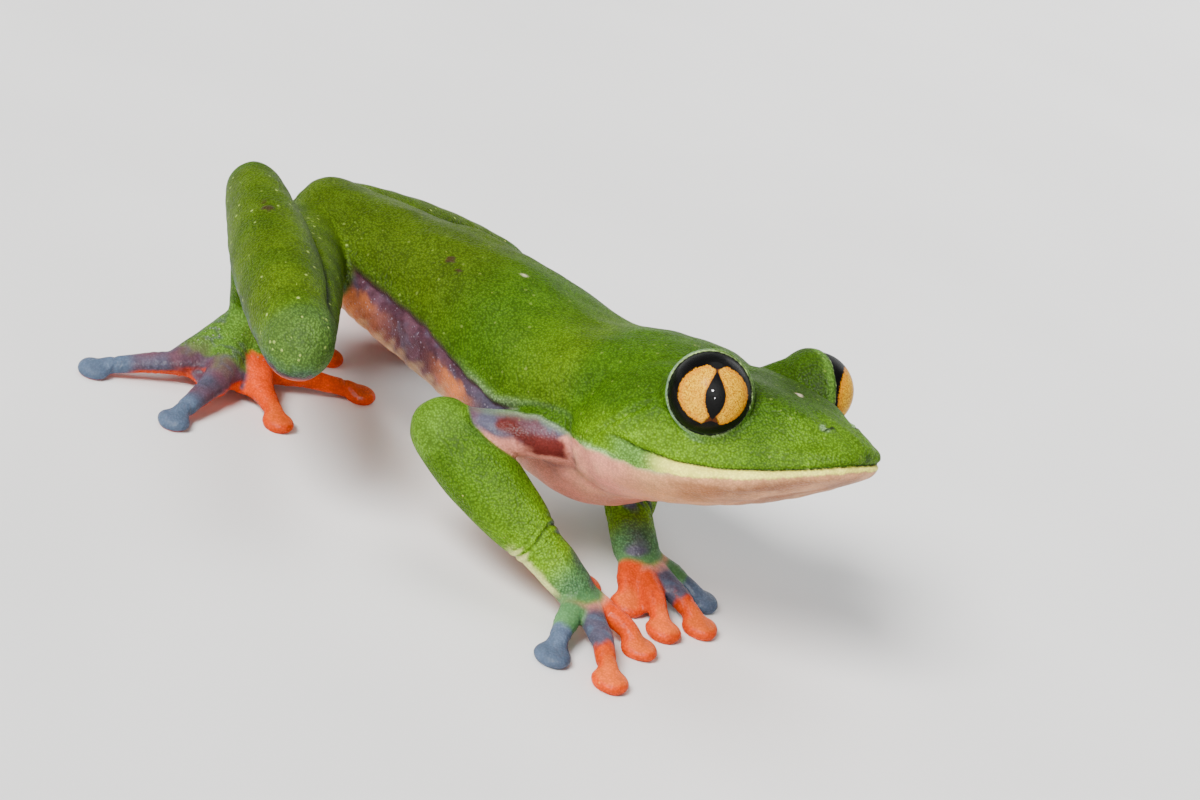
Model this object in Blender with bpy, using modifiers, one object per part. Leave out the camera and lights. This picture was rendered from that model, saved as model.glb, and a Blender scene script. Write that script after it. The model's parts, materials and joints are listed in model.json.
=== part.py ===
"""A golden-eyed leaf frog as a life-size still model, in a raised stance, its hands close together in front.

Everything is worked out in millimetres in the frog's own frame (+X forward, +Y to its left, +Z up, the floor
at z = 0, x = 0 under the middle of the body) and written in metres. The whole is then centred on its
footprint.
"""

import math

import bmesh
import bpy
from mathutils import Matrix, Vector

MM = 0.001

# ---------------------------------------------------------------- driving dimensions, in millimetres
GAP = 0.3                 # the thin cut that parts two neighbouring pieces
EYE_RADIUS = 3.65
LID = 0.55                # how far the lids stand out from an eyeball
LID_BRIM = 0.44           # how far the lids' edge lies out from the eyeball's middle
EYE_SPREAD = 9.1          # from the head's middle plane to the middle of an eyeball
HEAD_AT = (22.3, 0.0, 25.4)   # the point midway between the eyes
HEAD_YAW, HEAD_PITCH, HEAD_ROLL = 4.0, 20.0, 10.0
BODY_ROLL = 5.0
NECK_X = 12.0             # where the trunk meets the head
PAD_HEIGHT, PAD_HALF_THICKNESS = 0.62, 0.95
WEB_THICKNESS = 0.75
WEB_SLOPE = 0.7           # how high a web lies, as a share of the height of the digits beside it

# The cut between the head and the lower jaw, in the head's frame: x, z, from before the snout to the neck.
MOUTH_CUT = [
    (16.0, -4.8), (13.3, -4.9), (8.0, -5.9), (3.0, -6.4), (-2.0, -6.2), (-6.1, -5.4), (-12.0, -5.2),
    (-22.0, -5.2),
]

# A section of the head, across its own X axis: x, top, brow edge (y, z), lip (y, z), jowl (y, z), bottom.
HEAD_SECTIONS = [
    (11.5, -3.6, 1.3, -3.8, 2.1, -4.9, 1.2, -5.6, -5.8),
    (10.9, -2.9, 2.4, -3.1, 3.6, -4.9, 2.5, -5.9, -6.2),
    (9.4, -2.0, 3.2, -2.3, 5.4, -5.2, 4.1, -6.5, -6.9),
    (6.8, -0.9, 3.9, -1.3, 7.1, -5.7, 5.6, -7.4, -8.0),
    (3.8, 0.2, 4.7, -0.3, 8.7, -6.2, 6.8, -8.4, -9.1),
    (0.0, 1.2, 5.6, 0.7, 10.0, -6.2, 7.8, -9.2, -10.2),
    (-4.0, 1.7, 6.4, 1.2, 10.6, -5.4, 8.4, -9.5, -10.9),
    (-8.5, 1.9, 7.0, 1.1, 10.9, -4.6, 8.6, -9.6, -11.3),
    (-13.0, 0.8, 6.8, -0.4, 10.0, -5.0, 7.6, -9.5, -11.3),
    (-16.0, -1.5, 4.5, -2.5, 7.0, -5.5, 5.0, -8.0, -9.0),
]

# A section of the trunk, across +X: x, y, z of its middle, half width, height above, depth below.
TRUNK_SECTIONS = [
    (-33.6, 0.0, 16.2, 2.2, 2.4, 2.2),
    (-32.0, 0.0, 16.2, 4.2, 3.9, 3.6),
    (-27.5, 0.0, 15.9, 6.2, 4.8, 5.2),
    (-20.0, 0.0, 15.6, 7.3, 6.2, 6.2),
    (-13.0, 0.0, 15.7, 7.9, 7.2, 7.0),
    (-5.0, 0.0, 16.0, 9.3, 7.3, 8.0),
    (3.0, 0.0, 16.4, 10.2, 6.2, 9.5),
    (10.0, 0.0, 17.6, 10.1, 7.3, 10.7),
    (15.5, 0.0, 19.6, 9.0, 6.4, 9.2),
    (18.5, 0.0, 20.8, 6.5, 4.6, 5.4),
]

# The joints of each limb. Right is -Y.
ARMS = {
    "right": {"shoulder": (10.2, -8.4, 15.6), "elbow": (1.0, -15.6, 12.6), "wrist": (12.6, -12.6, 6.6)},
    "left": {"shoulder": (10.0, 8.4, 14.4), "elbow": (2.0, 13.6, 10.0), "wrist": (11.2, 3.2, 5.6)},
}
LEGS = {
    "right": {"hip": (-29.8, -3.8, 14.4), "knee": (-9.0, -26.6, 18.0), "heel": (-31.2, -11.6, 20.4),
              "ankle": (-31.4, -6.8, 5.4)},
    "left": {"hip": (-29.4, 3.6, 13.2), "knee": (-29.6, 28.8, 6.6), "heel": (-36.4, 7.6, 13.6),
             "ankle": (-38.2, 14.6, 5.2)},
}
# Hands: the middle of the palm, then for each finger its knuckle, its bend and its tip, innermost first.
HANDS = {
    "right": {
        "palm": (16.6, -10.4, 3.6),
        "digits": [
            [(16.2, -8.6, 2.8), (15.0, -6.4, 2.0), (13.6, -4.2, 0.9)],
            [(18.2, -9.0, 2.7), (20.8, -8.1, 2.0), (23.6, -7.8, 0.9)],
            [(18.6, -10.4, 2.7), (22.2, -12.4, 2.0), (26.2, -15.2, 0.9)],
            [(17.8, -11.4, 2.9), (19.0, -13.8, 2.1), (20.9, -17.2, 0.9)],
        ],
    },
    "left": {
        "palm": (14.2, 1.6, 3.6),
        "digits": [
            [(14.9, 0.4, 2.8), (16.2, -1.2, 2.0), (17.8, -2.6, 0.9)],
            [(15.8, 0.8, 2.7), (19.0, -0.8, 2.0), (22.4, -2.8, 0.9)],
            [(16.2, 2.0, 2.7), (19.8, 1.8, 2.0), (23.6, 1.4, 0.9)],
            [(15.6, 3.0, 2.8), (17.6, 4.4, 2.0), (20.4, 5.6, 0.9)],
        ],
    },
}
# Feet: the middle of the sole, then each toe's root, bend and tip, innermost toe first.
FEET = {
    "right": {
        "palm": (-29.6, -9.4, 2.5),
        "digits": [
            [(-29.4, -7.0, 1.9), (-29.2, -1.6, 1.6), (-29.0, 4.2, 0.9)],
            [(-27.8, -7.8, 2.0), (-25.2, -3.6, 1.7), (-21.9, 1.6, 0.9)],
            [(-26.8, -9.6, 2.2), (-24.0, -10.6, 1.8), (-20.5, -11.6, 0.9)],
            [(-27.4, -12.0, 2.4), (-26.0, -16.8, 1.9), (-24.4, -22.0, 0.9)],
            [(-29.6, -12.6, 2.5), (-32.2, -17.2, 1.9), (-35.0, -22.8, 0.9)],
        ],
    },
    "left": {
        "palm": (-36.0, 17.6, 2.4),
        "digits": [
            [(-34.0, 16.4, 1.9), (-30.6, 15.2, 1.5), (-26.6, 14.6, 0.9)],
            [(-33.2, 17.6, 1.9), (-28.8, 18.2, 1.5), (-23.8, 19.4, 0.9)],
            [(-33.2, 18.8, 2.0), (-28.4, 21.4, 1.5), (-22.6, 24.6, 0.9)],
            [(-34.0, 20.2, 2.1), (-30.2, 24.8, 1.5), (-25.0, 30.6, 0.9)],
            [(-35.8, 20.8, 2.1), (-36.2, 26.0, 1.7), (-35.4, 32.0, 0.9)],
        ],
    },
}

# Half thickness of each limb segment along its bone: share of its length, half width, half height.
LIMB_PROFILES = {
    "upper_arm": [(-0.12, 2.2, 2.2), (0.0, 2.5, 2.5), (0.4, 2.2, 2.2), (0.8, 2.2, 2.2), (1.0, 2.6, 2.7)],
    "forearm": [(0.0, 3.1, 3.2), (0.2, 3.4, 3.5), (0.5, 3.3, 3.5), (0.8, 2.8, 3.0), (1.0, 2.3, 2.5)],
    "thigh": [(-0.1, 3.4, 3.6), (0.1, 4.0, 4.4), (0.45, 4.0, 4.4), (0.8, 3.6, 4.0), (1.0, 3.3, 3.6)],
    "shank": [(0.0, 3.4, 3.6), (0.25, 4.0, 4.1), (0.55, 4.1, 4.1), (0.85, 3.3, 3.5), (1.0, 2.8, 2.9)],
    "tarsus": [(0.0, 2.4, 2.5), (0.3, 2.1, 2.3), (0.7, 1.9, 2.1), (1.0, 2.0, 2.0)],
}
# Hands and feet. sizes: half width and half height of a digit at its root and tip, and of the wrist or ankle.
# web: how far along the digits the skin between them reaches. pad: the radius of the round tips.
EXTREMITIES = {
    "hand": {"root": (1.3, 1.2), "tip": (0.95, 0.85), "wrist": (2.2, 2.3), "web": 0.36, "pad": 1.85},
    "foot": {"root": (1.5, 1.2), "tip": (0.9, 0.8), "wrist": (2.0, 2.0), "web": 0.66, "pad": 1.7},
}
PALM_SIZE, PALM_RAY_SIZE, DORSUM_SIZE = (2.4, 1.8), (1.9, 1.5), (1.7, 1.5)
DORSUM_REACH = 0.3        # how far along the toes the back of the foot slopes down

# How fine each kind of piece is: the grid its skin is drawn on, its triangles, its rounds of smoothing.
DETAIL = {
    "body": (0.45, 1750, 6), "limb": (0.35, 135, 3), "hand": (0.24, 460, 3), "foot": (0.24, 580, 3),
}
SKIN_COLOURS = {
    "green": (0.10, 0.24, 0.02), "flank": (0.12, 0.09, 0.18), "orange": (0.80, 0.15, 0.02),
    "blue": (0.14, 0.18, 0.30), "throat": (0.62, 0.33, 0.25), "iris": (0.85, 0.38, 0.05),
}


# ---------------------------------------------------------------- shapes
def through(rows, steps, closed=False):
    """Smooth rows through the given ones, by Catmull-Rom, with this many steps from each to the next."""
    count = len(rows)
    out = []
    for i in range(count if closed else count - 1):
        near = [i - 1, i, i + 1, i + 2]
        near = [n % count if closed else min(max(n, 0), count - 1) for n in near]
        p, q, r, s = (rows[n] for n in near)
        for step in range(steps):
            t = step / steps
            out.append([
                b + t / 2 * (c - a + t * (2 * a - 5 * b + 4 * c - d + t * (3 * b - a - 3 * c + d)))
                for a, b, c, d in zip(p, q, r, s)
            ])
    return out if closed else out + [list(rows[-1])]


def loft(rings):
    """A closed surface through rings of equally many points, in millimetres, with a fan at each end."""
    bm = bmesh.new()
    loops = [[bm.verts.new(point) for point in ring] for ring in rings]
    count = len(loops[0])
    for one, two in zip(loops, loops[1:]):
        for i in range(count):
            j = (i + 1) % count
            bm.faces.new((one[i], one[j], two[j], two[i]))
    for loop in (loops[0], loops[-1]):
        middle = bm.verts.new(sum((v.co for v in loop), Vector()) / count)
        for i in range(count):
            bm.faces.new((loop[i], loop[(i + 1) % count], middle))
    bmesh.ops.recalc_face_normals(bm, faces=bm.faces)
    return bm


def ellipsoid(middle, radii, turn=None, sides=20):
    """An ellipsoid about a point. turn is a rotation matrix for its axes."""
    bm = bmesh.new()
    bmesh.ops.create_uvsphere(bm, u_segments=sides, v_segments=sides // 2, radius=1.0)
    bmesh.ops.transform(bm, verts=bm.verts, matrix=Matrix.Diagonal((*radii, 1.0)))
    if turn:
        bmesh.ops.transform(bm, verts=bm.verts, matrix=turn)
    bmesh.ops.transform(bm, verts=bm.verts, matrix=Matrix.Translation(middle))
    return bm


def tube(rows, up, sides=20):
    """A limb or digit: rows of x, y, z, half width and half height, with rounded ends."""
    rows = [list(row) for row in rows]
    for end, step in ((0, 1), (-1, -1)):
        here = Vector(rows[end][:3])
        away = (here - Vector(rows[end + step][:3])).normalized()
        reach = min(rows[end][3:])
        cap = [
            [*(here + away * reach * math.sin(a)), rows[end][3] * math.cos(a), rows[end][4] * math.cos(a)]
            for a in (0.5, 1.0, 1.35)
        ]
        rows = cap[::-1] + rows if end == 0 else rows + cap
    rings = []
    for i, (x, y, z, width, height) in enumerate(rows):
        behind, ahead = rows[max(i - 1, 0)], rows[min(i + 1, len(rows) - 1)]
        along = (Vector(ahead[:3]) - Vector(behind[:3])).normalized()
        side = along.cross(Vector(up)).normalized()
        top = side.cross(along)
        turns = [2 * math.pi * k / sides for k in range(sides)]
        rings.append([
            Vector((x, y, z)) + side * width * math.cos(a) + top * height * math.sin(a) for a in turns
        ])
    return loft(rings)


def segment(start, end, profile, up=(0, 0, 1)):
    """A limb segment along the bone from one joint to the next."""
    a, b = Vector(start), Vector(end)
    rows = [[*(a + (b - a) * share), width, height] for share, width, height in profile]
    return tube(through(rows, 5), up)


def head_frame():
    """Where the head's own axes lie in the frog's: +X to the snout, +Y left, +Z up, between the eyes."""
    turn = (
        Matrix.Rotation(math.radians(HEAD_YAW), 4, "Z")
        @ Matrix.Rotation(math.radians(-HEAD_PITCH), 4, "Y")
        @ Matrix.Rotation(math.radians(-HEAD_ROLL), 4, "X")
    )
    return Matrix.Translation(HEAD_AT) @ turn


def head_shape():
    rings = []
    for x, top, brow_y, brow_z, lip_y, lip_z, jowl_y, jowl_z, bottom in through(HEAD_SECTIONS, 4):
        half = [(brow_y, brow_z), (lip_y, lip_z), (jowl_y, jowl_z)]
        loop = [(0, top), *half, (0, bottom), *[(-y, z) for y, z in reversed(half)]]
        rings.append([head_frame() @ Vector((x, y, z)) for y, z in through(loop, 5, closed=True)])
    return loft(rings)


def trunk_shape():
    roll = Matrix.Rotation(math.radians(-BODY_ROLL), 3, "X")
    sides, squareness = 40, 0.92
    rings = []
    for x, y, z, width, above, below in through(TRUNK_SECTIONS, 4):
        ring = []
        for k in range(sides):
            c, s = (f(2 * math.pi * k / sides) for f in (math.cos, math.sin))
            across = math.copysign(abs(c) ** squareness, c) * width
            height = math.copysign(abs(s) ** squareness, s) * (above if s > 0 else below)
            ring.append(Vector((x, y, z)) + roll @ Vector((0, across, height)))
        rings.append(ring)
    return loft(rings)


def eye_middle(side):
    return head_frame() @ Vector((0, side * EYE_SPREAD, 0))


def eye_axis(side):
    """The way an eye looks: outwards and somewhat forwards."""
    return head_frame().to_3x3() @ Vector((0.50, side * 0.865, 0.04)).normalized()


# ---------------------------------------------------------------- making, cutting and parting
def collection(name):
    made = bpy.data.collections.new(name)
    bpy.context.scene.collection.children.link(made)
    return made


def finish_material(name, colour, roughness=0.4):
    made = bpy.data.materials.new(name)
    made.use_nodes = True
    shader = made.node_tree.nodes["Principled BSDF"]
    shader.inputs["Base Color"].default_value = (*colour, 1.0)
    shader.inputs["Roughness"].default_value = roughness
    shader.inputs["Metallic"].default_value = 0.0
    return made


def add(name, bm, home):
    """A mesh object made of a bmesh in millimetres."""
    bmesh.ops.scale(bm, vec=(MM, MM, MM), verts=bm.verts)
    mesh = bpy.data.meshes.new(name)
    bm.to_mesh(mesh)
    bm.free()
    obj = bpy.data.objects.new(name, mesh)
    home.objects.link(obj)
    return obj


def settle(obj):
    """Applies the object's modifiers to its mesh."""
    graph = bpy.context.evaluated_depsgraph_get()
    mesh = bpy.data.meshes.new_from_object(obj.evaluated_get(graph))
    obj.modifiers.clear()
    obj.data = mesh
    return obj


def fuse(name, shapes, kind, home):
    """One smooth closed skin round all the shapes, as fine as its kind is listed."""
    voxel, faces, smoothing = DETAIL[kind]
    whole = bmesh.new()
    for shape in shapes:
        mesh = bpy.data.meshes.new("shape")
        shape.to_mesh(mesh)
        shape.free()
        whole.from_mesh(mesh)
        bpy.data.meshes.remove(mesh)
    obj = add(name, whole, home)
    remesh = obj.modifiers.new("one_skin", "REMESH")
    remesh.mode = "VOXEL"
    remesh.voxel_size = voxel * MM
    smooth = obj.modifiers.new("smooth", "SMOOTH")
    smooth.factor = 0.5
    smooth.iterations = smoothing
    settle(obj)
    thin_out = obj.modifiers.new("fewer_faces", "DECIMATE")
    thin_out.ratio = faces / (2 * len(obj.data.polygons))
    return settle(obj)


def hidden(obj, cutters):
    """Turns an object into a cutter, which isn't part of the frog."""
    for home in obj.users_collection:
        home.objects.unlink(obj)
    cutters.objects.link(obj)
    obj.hide_render = True
    obj.display_type = "WIRE"
    return obj


def largest_island(obj):
    """Drops the small loose chips that a cut can leave."""
    bm = bmesh.new()
    bm.from_mesh(obj.data)
    left, islands = set(bm.verts), []
    while left:
        island, edge = set(), {left.pop()}
        while edge:
            island |= edge
            edge = {e.other_vert(v) for v in edge for e in v.link_edges} - island
        left -= island
        islands.append(island)
    keep = max(islands, key=len)
    bmesh.ops.delete(bm, geom=[v for v in bm.verts if v not in keep], context="VERTS")
    bm.to_mesh(obj.data)
    bm.free()
    return obj


def boolean(obj, operation, cutter):
    cut = obj.modifiers.new(operation.lower(), "BOOLEAN")
    cut.operation = operation
    cut.object = cutter
    return largest_island(settle(obj))


def copy_of(obj, name, home):
    twin = bpy.data.objects.new(name, obj.data.copy())
    home.objects.link(twin)
    return twin


def swollen(obj, by, cutters):
    """A cutter: the object with its skin moved outwards."""
    twin = copy_of(obj, obj.name + "_swollen", cutters)
    swell = twin.modifiers.new("swell", "DISPLACE")
    swell.strength = by * MM
    swell.mid_level = 0.0
    return hidden(settle(twin), cutters)


def block(name, middle, turn, size, cutters):
    """A box cutter in millimetres, turned by a rotation matrix about its middle."""
    bm = bmesh.new()
    bmesh.ops.create_cube(bm, size=1.0)
    bmesh.ops.transform(bm, verts=bm.verts, matrix=Matrix.Diagonal((*size, 1.0)))
    bmesh.ops.transform(bm, verts=bm.verts, matrix=Matrix.Translation(middle) @ turn.to_4x4())
    return hidden(add(name, bm, cutters), cutters)


def half_space(point, outwards, cutters, name="half_space"):
    """A big box whose one face holds the point and looks along outwards, with all of the box behind it."""
    reach = 120.0
    turn = Vector(outwards).to_track_quat("Z", "Y").to_matrix()
    middle = Vector(point) - Vector(outwards).normalized() * reach / 2
    return block(name, middle, turn, (reach, reach, reach), cutters)


def keep_behind(obj, point, outwards, cutters):
    """Cuts off what lies past the plane through the point, leaving half of the gap."""
    outwards = Vector(outwards).normalized()
    plane = half_space(Vector(point) - outwards * GAP / 2, outwards, cutters, obj.name + "_plane")
    return boolean(obj, "INTERSECT", plane)


# ---------------------------------------------------------------- the pieces
def mouth_cutter(shift, cutters):
    """The space below the mouth line and its course back to the neck, moved up by shift."""
    depth, half_width = -22.0, 20.0
    bm = bmesh.new()
    outline = [(x, z + shift) for x, z in through(MOUTH_CUT, 4)]
    outline += [(MOUTH_CUT[-1][0], depth), (MOUTH_CUT[0][0], depth)]
    face = bm.faces.new([bm.verts.new((x, -half_width, z)) for x, z in outline])
    moved = bmesh.ops.extrude_face_region(bm, geom=[face])
    top = [v for v in moved["geom"] if isinstance(v, bmesh.types.BMVert)]
    bmesh.ops.translate(bm, verts=top, vec=(0, 2 * half_width, 0))
    bmesh.ops.transform(bm, verts=bm.verts, matrix=head_frame())
    bmesh.ops.recalc_face_normals(bm, faces=bm.faces)
    return hidden(add("mouth_cutter", bm, cutters), cutters)


def eye_bulge(side):
    """The lids round an eyeball: a cup with its brim where the eye looks out."""
    turn = eye_axis(side).to_track_quat("Z", "Y").to_matrix().to_4x4()
    bm = ellipsoid((0, 0, 0), (EYE_RADIUS + LID,) * 3)
    whole, brim = [*bm.verts, *bm.edges, *bm.faces], (0, 0, LID_BRIM)
    cut = bmesh.ops.bisect_plane(bm, geom=whole, plane_co=brim, plane_no=(0, 0, 1), clear_outer=True)
    rim = [e for e in cut["geom_cut"] if isinstance(e, bmesh.types.BMEdge)]
    bmesh.ops.holes_fill(bm, edges=rim)
    bmesh.ops.transform(bm, verts=bm.verts, matrix=Matrix.Translation(eye_middle(side)) @ turn)
    return bm


def body_parts(home, cutters):
    """The head, lower jaw and trunk, fused as one and then parted, and the fused body swollen by the gap."""
    shapes = [head_shape(), trunk_shape(), eye_bulge(1), eye_bulge(-1)]
    body = fuse("trunk", shapes, "body", home)
    for side in (1, -1):
        socket = add("socket", ellipsoid(eye_middle(side), (EYE_RADIUS + GAP,) * 3), cutters)
        boolean(body, "DIFFERENCE", hidden(socket, cutters))
    wide = swollen(body, GAP, cutters)
    head, jaw = copy_of(body, "head", home), copy_of(body, "lower_jaw", home)
    neck, nape = (NECK_X, 0, 18.0), (1.0, 0.0, 0.25)
    keep_behind(body, neck, nape, cutters)
    for piece in (head, jaw):
        keep_behind(piece, neck, -Vector(nape), cutters)
    boolean(head, "DIFFERENCE", mouth_cutter(GAP / 2, cutters))
    boolean(jaw, "INTERSECT", mouth_cutter(-GAP / 2, cutters))
    return {"head": head, "lower_jaw": jaw, "trunk": body}, wide


def eyes(home):
    return {
        f"eye_{name}": add(f"eye_{name}", ellipsoid(eye_middle(side), (EYE_RADIUS,) * 3), home)
        for name, side in (("left", 1), ("right", -1))
    }


def limb(kind, side, start, end, home):
    return fuse(f"{kind}_{side}", [segment(start, end, LIMB_PROFILES[kind])], "limb", home)


def part_at_bend(one, other, joint, to_one, to_other, cutters):
    """Parts two segments along the plane that halves the bend between them."""
    a = (Vector(to_one) - Vector(joint)).normalized()
    b = (Vector(to_other) - Vector(joint)).normalized()
    keep_behind(one, joint, b - a, cutters)
    keep_behind(other, joint, a - b, cutters)


def digit_shape(points, size):
    """A finger or toe along its joints, thinner towards the tip, with a round flat pad at its end."""
    root, tip = Vector(size["root"]), Vector(size["tip"])
    rows = [[*point, *thickness] for point, thickness in zip(points, (root, (root + tip) / 2, tip))]
    pad_middle = (*points[-1][:2], PAD_HEIGHT)
    pad_radii = (size["pad"], size["pad"], PAD_HALF_THICKNESS)
    return [tube(through(rows, 6), (0, 0, 1), 14), ellipsoid(pad_middle, pad_radii)]


def rim_of(sheet):
    """The points round the edge of a grid of rows, in order."""
    return sheet[0] + [row[-1] for row in sheet[1:-1]] + sheet[-1][::-1] + [row[0] for row in sheet[-2:0:-1]]


def web_shape(root, one, other, reach):
    """The skin between two digits: a thin sheet from the palm, its free edge drawn in."""
    steps, drawn_in, lowest = 8, 0.32, 0.5
    bm = bmesh.new()
    grid = []
    for i in range(steps + 1):
        a, b = (point_along([root, *digit], reach * i / steps) for digit in (one, other))
        row = []
        for k in range(steps + 1):
            reach_here = 1 - drawn_in * math.sin(math.pi * k / steps) * i / steps
            point = Vector(root).lerp(a.lerp(b, k / steps), reach_here)
            row.append(Vector((point.x, point.y, max(point.z * WEB_SLOPE, lowest))))
        grid.append(row)
    sheets = []
    for lift in (-WEB_THICKNESS / 2, WEB_THICKNESS / 2):
        sheet = [[bm.verts.new(point + Vector((0, 0, lift))) for point in row] for row in grid]
        for one_row, two_row in zip(sheet, sheet[1:]):
            for k in range(steps):
                bm.faces.new((one_row[k], one_row[k + 1], two_row[k + 1], two_row[k]))
        sheets.append(sheet)
    low, high = map(rim_of, sheets)
    for i in range(len(low)):
        j = (i + 1) % len(low)
        bm.faces.new((low[i], low[j], high[j], high[i]))
    bmesh.ops.recalc_face_normals(bm, faces=bm.faces)
    return bm


def point_along(points, share):
    """The point this share of the way along a line of points."""
    points = [Vector(p) for p in points]
    lengths = [(b - a).length for a, b in zip(points, points[1:])]
    left = share * sum(lengths)
    for a, b, length in zip(points, points[1:], lengths):
        if left <= length:
            return a.lerp(b, left / length)
        left -= length
    return points[-1]


def extremity_shapes(kind, plan, joint, behind):
    """A hand or foot: its wrist and palm, its digits with their pads, and the webs between them."""
    size, palm, digits = EXTREMITIES[kind], plan["palm"], plan["digits"]
    back = Vector(joint) + (Vector(behind) - Vector(joint)).normalized() * 2.0
    wrist = [[*back, *size["wrist"]], [*joint, *size["wrist"]], [*palm, *PALM_SIZE]]
    shapes = [tube(through(wrist, 5), (0, 0, 1))]
    for points in digits:
        shapes += digit_shape(points, size)
        ray = [[*palm, *PALM_RAY_SIZE], [*points[0], *size["root"]]]
        shapes.append(tube(through(ray, 4), (0, 0, 1), 14))
        if kind == "foot":
            low = point_along(points, DORSUM_REACH)
            halfway = (Vector(joint) + low) / 2
            dorsum = [[*joint, *size["wrist"]], [*halfway, *DORSUM_SIZE], [*low, *size["root"]]]
            shapes.append(tube(through(dorsum, 4), (0, 0, 1), 14))
    return shapes + [web_shape(palm, a, b, size["web"]) for a, b in zip(digits, digits[1:])]


def extremity(kind, side, plan, joint, behind, upwards, home, cutters):
    """A hand or foot with its digits: fused as one, then each digit parted past its bend."""
    whole = fuse(f"{kind}_{side}", extremity_shapes(kind, plan, joint, behind), kind, home)
    keep_behind(whole, joint, upwards, cutters)
    boolean(whole, "INTERSECT", half_space((0, 0, 0), (0, 0, -1), cutters, "floor"))
    made = {whole.name: whole}
    word, pad = "finger" if kind == "hand" else "toe", EXTREMITIES[kind]["pad"]
    past_pad, beside_pad, tall = 1.0, 0.45, 14.0
    for number, (_, bend, end) in enumerate(plan["digits"], 1):
        flat = Vector((end[0] - bend[0], end[1] - bend[1], 0))
        size = (flat.length + pad + past_pad, 2 * (pad + beside_pad), tall)
        flat.normalize()
        turn = Matrix((flat, Vector((0, 0, 1)).cross(flat), (0, 0, 1))).transposed()
        middle = Vector(bend) + flat * size[0] / 2
        digit = copy_of(whole, f"{word}_{side}_{number}", home)
        boolean(digit, "INTERSECT", block("reach", middle, turn, size, cutters))
        grown = [edge + 2 * GAP for edge in size]
        boolean(whole, "DIFFERENCE", block("reach", middle, turn, grown, cutters))
        made[digit.name] = digit
    return made


def arm_parts(side, home, cutters, body):
    shoulder, elbow, wrist = (ARMS[side][joint] for joint in ("shoulder", "elbow", "wrist"))
    upper = limb("upper_arm", side, shoulder, elbow, home)
    fore = limb("forearm", side, elbow, wrist, home)
    part_at_bend(upper, fore, elbow, shoulder, wrist, cutters)
    upwards = Vector(elbow) - Vector(wrist)
    keep_behind(fore, wrist, -upwards, cutters)
    for piece in (upper, fore):
        boolean(piece, "DIFFERENCE", body)
    made = extremity("hand", side, HANDS[side], wrist, elbow, upwards, home, cutters)
    return {upper.name: upper, fore.name: fore, **made}


def leg_parts(side, home, cutters, body):
    hip, knee, heel, ankle = (LEGS[side][joint] for joint in ("hip", "knee", "heel", "ankle"))
    thigh = limb("thigh", side, hip, knee, home)
    shank = limb("shank", side, knee, heel, home)
    tarsus = limb("tarsus", side, heel, ankle, home)
    # Each thigh stays on its own side, so that the two don't meet at the hips.
    keep_behind(thigh, (0, 0, 0), (0, 1 if side == "right" else -1, 0), cutters)
    part_at_bend(thigh, shank, knee, hip, heel, cutters)
    part_at_bend(shank, tarsus, heel, knee, ankle, cutters)
    upwards = Vector((0, 0, 1))
    keep_behind(tarsus, ankle, -upwards, cutters)
    for piece in (thigh, shank, tarsus):
        boolean(piece, "DIFFERENCE", body)
    boolean(tarsus, "DIFFERENCE", swollen(thigh, GAP, cutters))
    made = extremity("foot", side, FEET[side], ankle, heel, upwards, home, cutters)
    return {thigh.name: thigh, shank.name: shank, tarsus.name: tarsus, **made}


def colour_of(name):
    """The finish of a piece, by its name."""
    word, number = name.split("_")[0], name.split("_")[-1]
    if word == "eye":
        return "iris"
    if word == "lower":
        return "throat"
    if word == "upper":
        return "flank"
    if word in ("toe", "finger"):
        outer = {"toe": ("4", "5"), "finger": ("3", "4")}[word]
        return "blue" if number in outer else "orange"
    return "orange" if word == "foot" else "green"


def centre_on_footprint(pieces):
    """Hangs every piece on one empty, moved so that the middle of the frog's footprint is the origin."""
    corners = [v.co for piece in pieces for v in piece.data.vertices]
    middle = [(min(c[i] for c in corners) + max(c[i] for c in corners)) / 2 for i in (0, 1)]
    frog = bpy.data.objects.new("frog", None)
    bpy.context.scene.collection.objects.link(frog)
    frog.location = (-middle[0], -middle[1], 0.0)
    for piece in pieces:
        piece.parent = frog


def main():
    for obj in list(bpy.data.objects):
        bpy.data.objects.remove(obj)
    home, cutters = collection("leaf_frog"), collection("cutters")
    parts, body = body_parts(home, cutters)
    parts.update(eyes(home))
    for side in ("right", "left"):
        parts.update(arm_parts(side, home, cutters, body))
        parts.update(leg_parts(side, home, cutters, body))
    finishes = {word: finish_material(word, colour) for word, colour in SKIN_COLOURS.items()}
    finishes["iris"].node_tree.nodes["Principled BSDF"].inputs["Roughness"].default_value = 0.08
    for name, piece in parts.items():
        piece.data.materials.clear()
        piece.data.materials.append(finishes[colour_of(name)])
        piece.data.shade_smooth()
    cutters.hide_render = True
    centre_on_footprint(parts.values())


main()
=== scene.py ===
"""Dresses the golden-eyed leaf frog: one skin over all of its flesh, its two eyes, a floor, lights and the camera.

Everything is worked out in millimetres in the frog's own frame (+X forward, +Y to its left, +Z up, the floor at
z = 0), with the same sizes as the part's source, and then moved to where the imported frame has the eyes.
"""

import functools
import json
import math

import bmesh
import bpy
import numpy as np
from mathutils import Matrix, Vector

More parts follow.
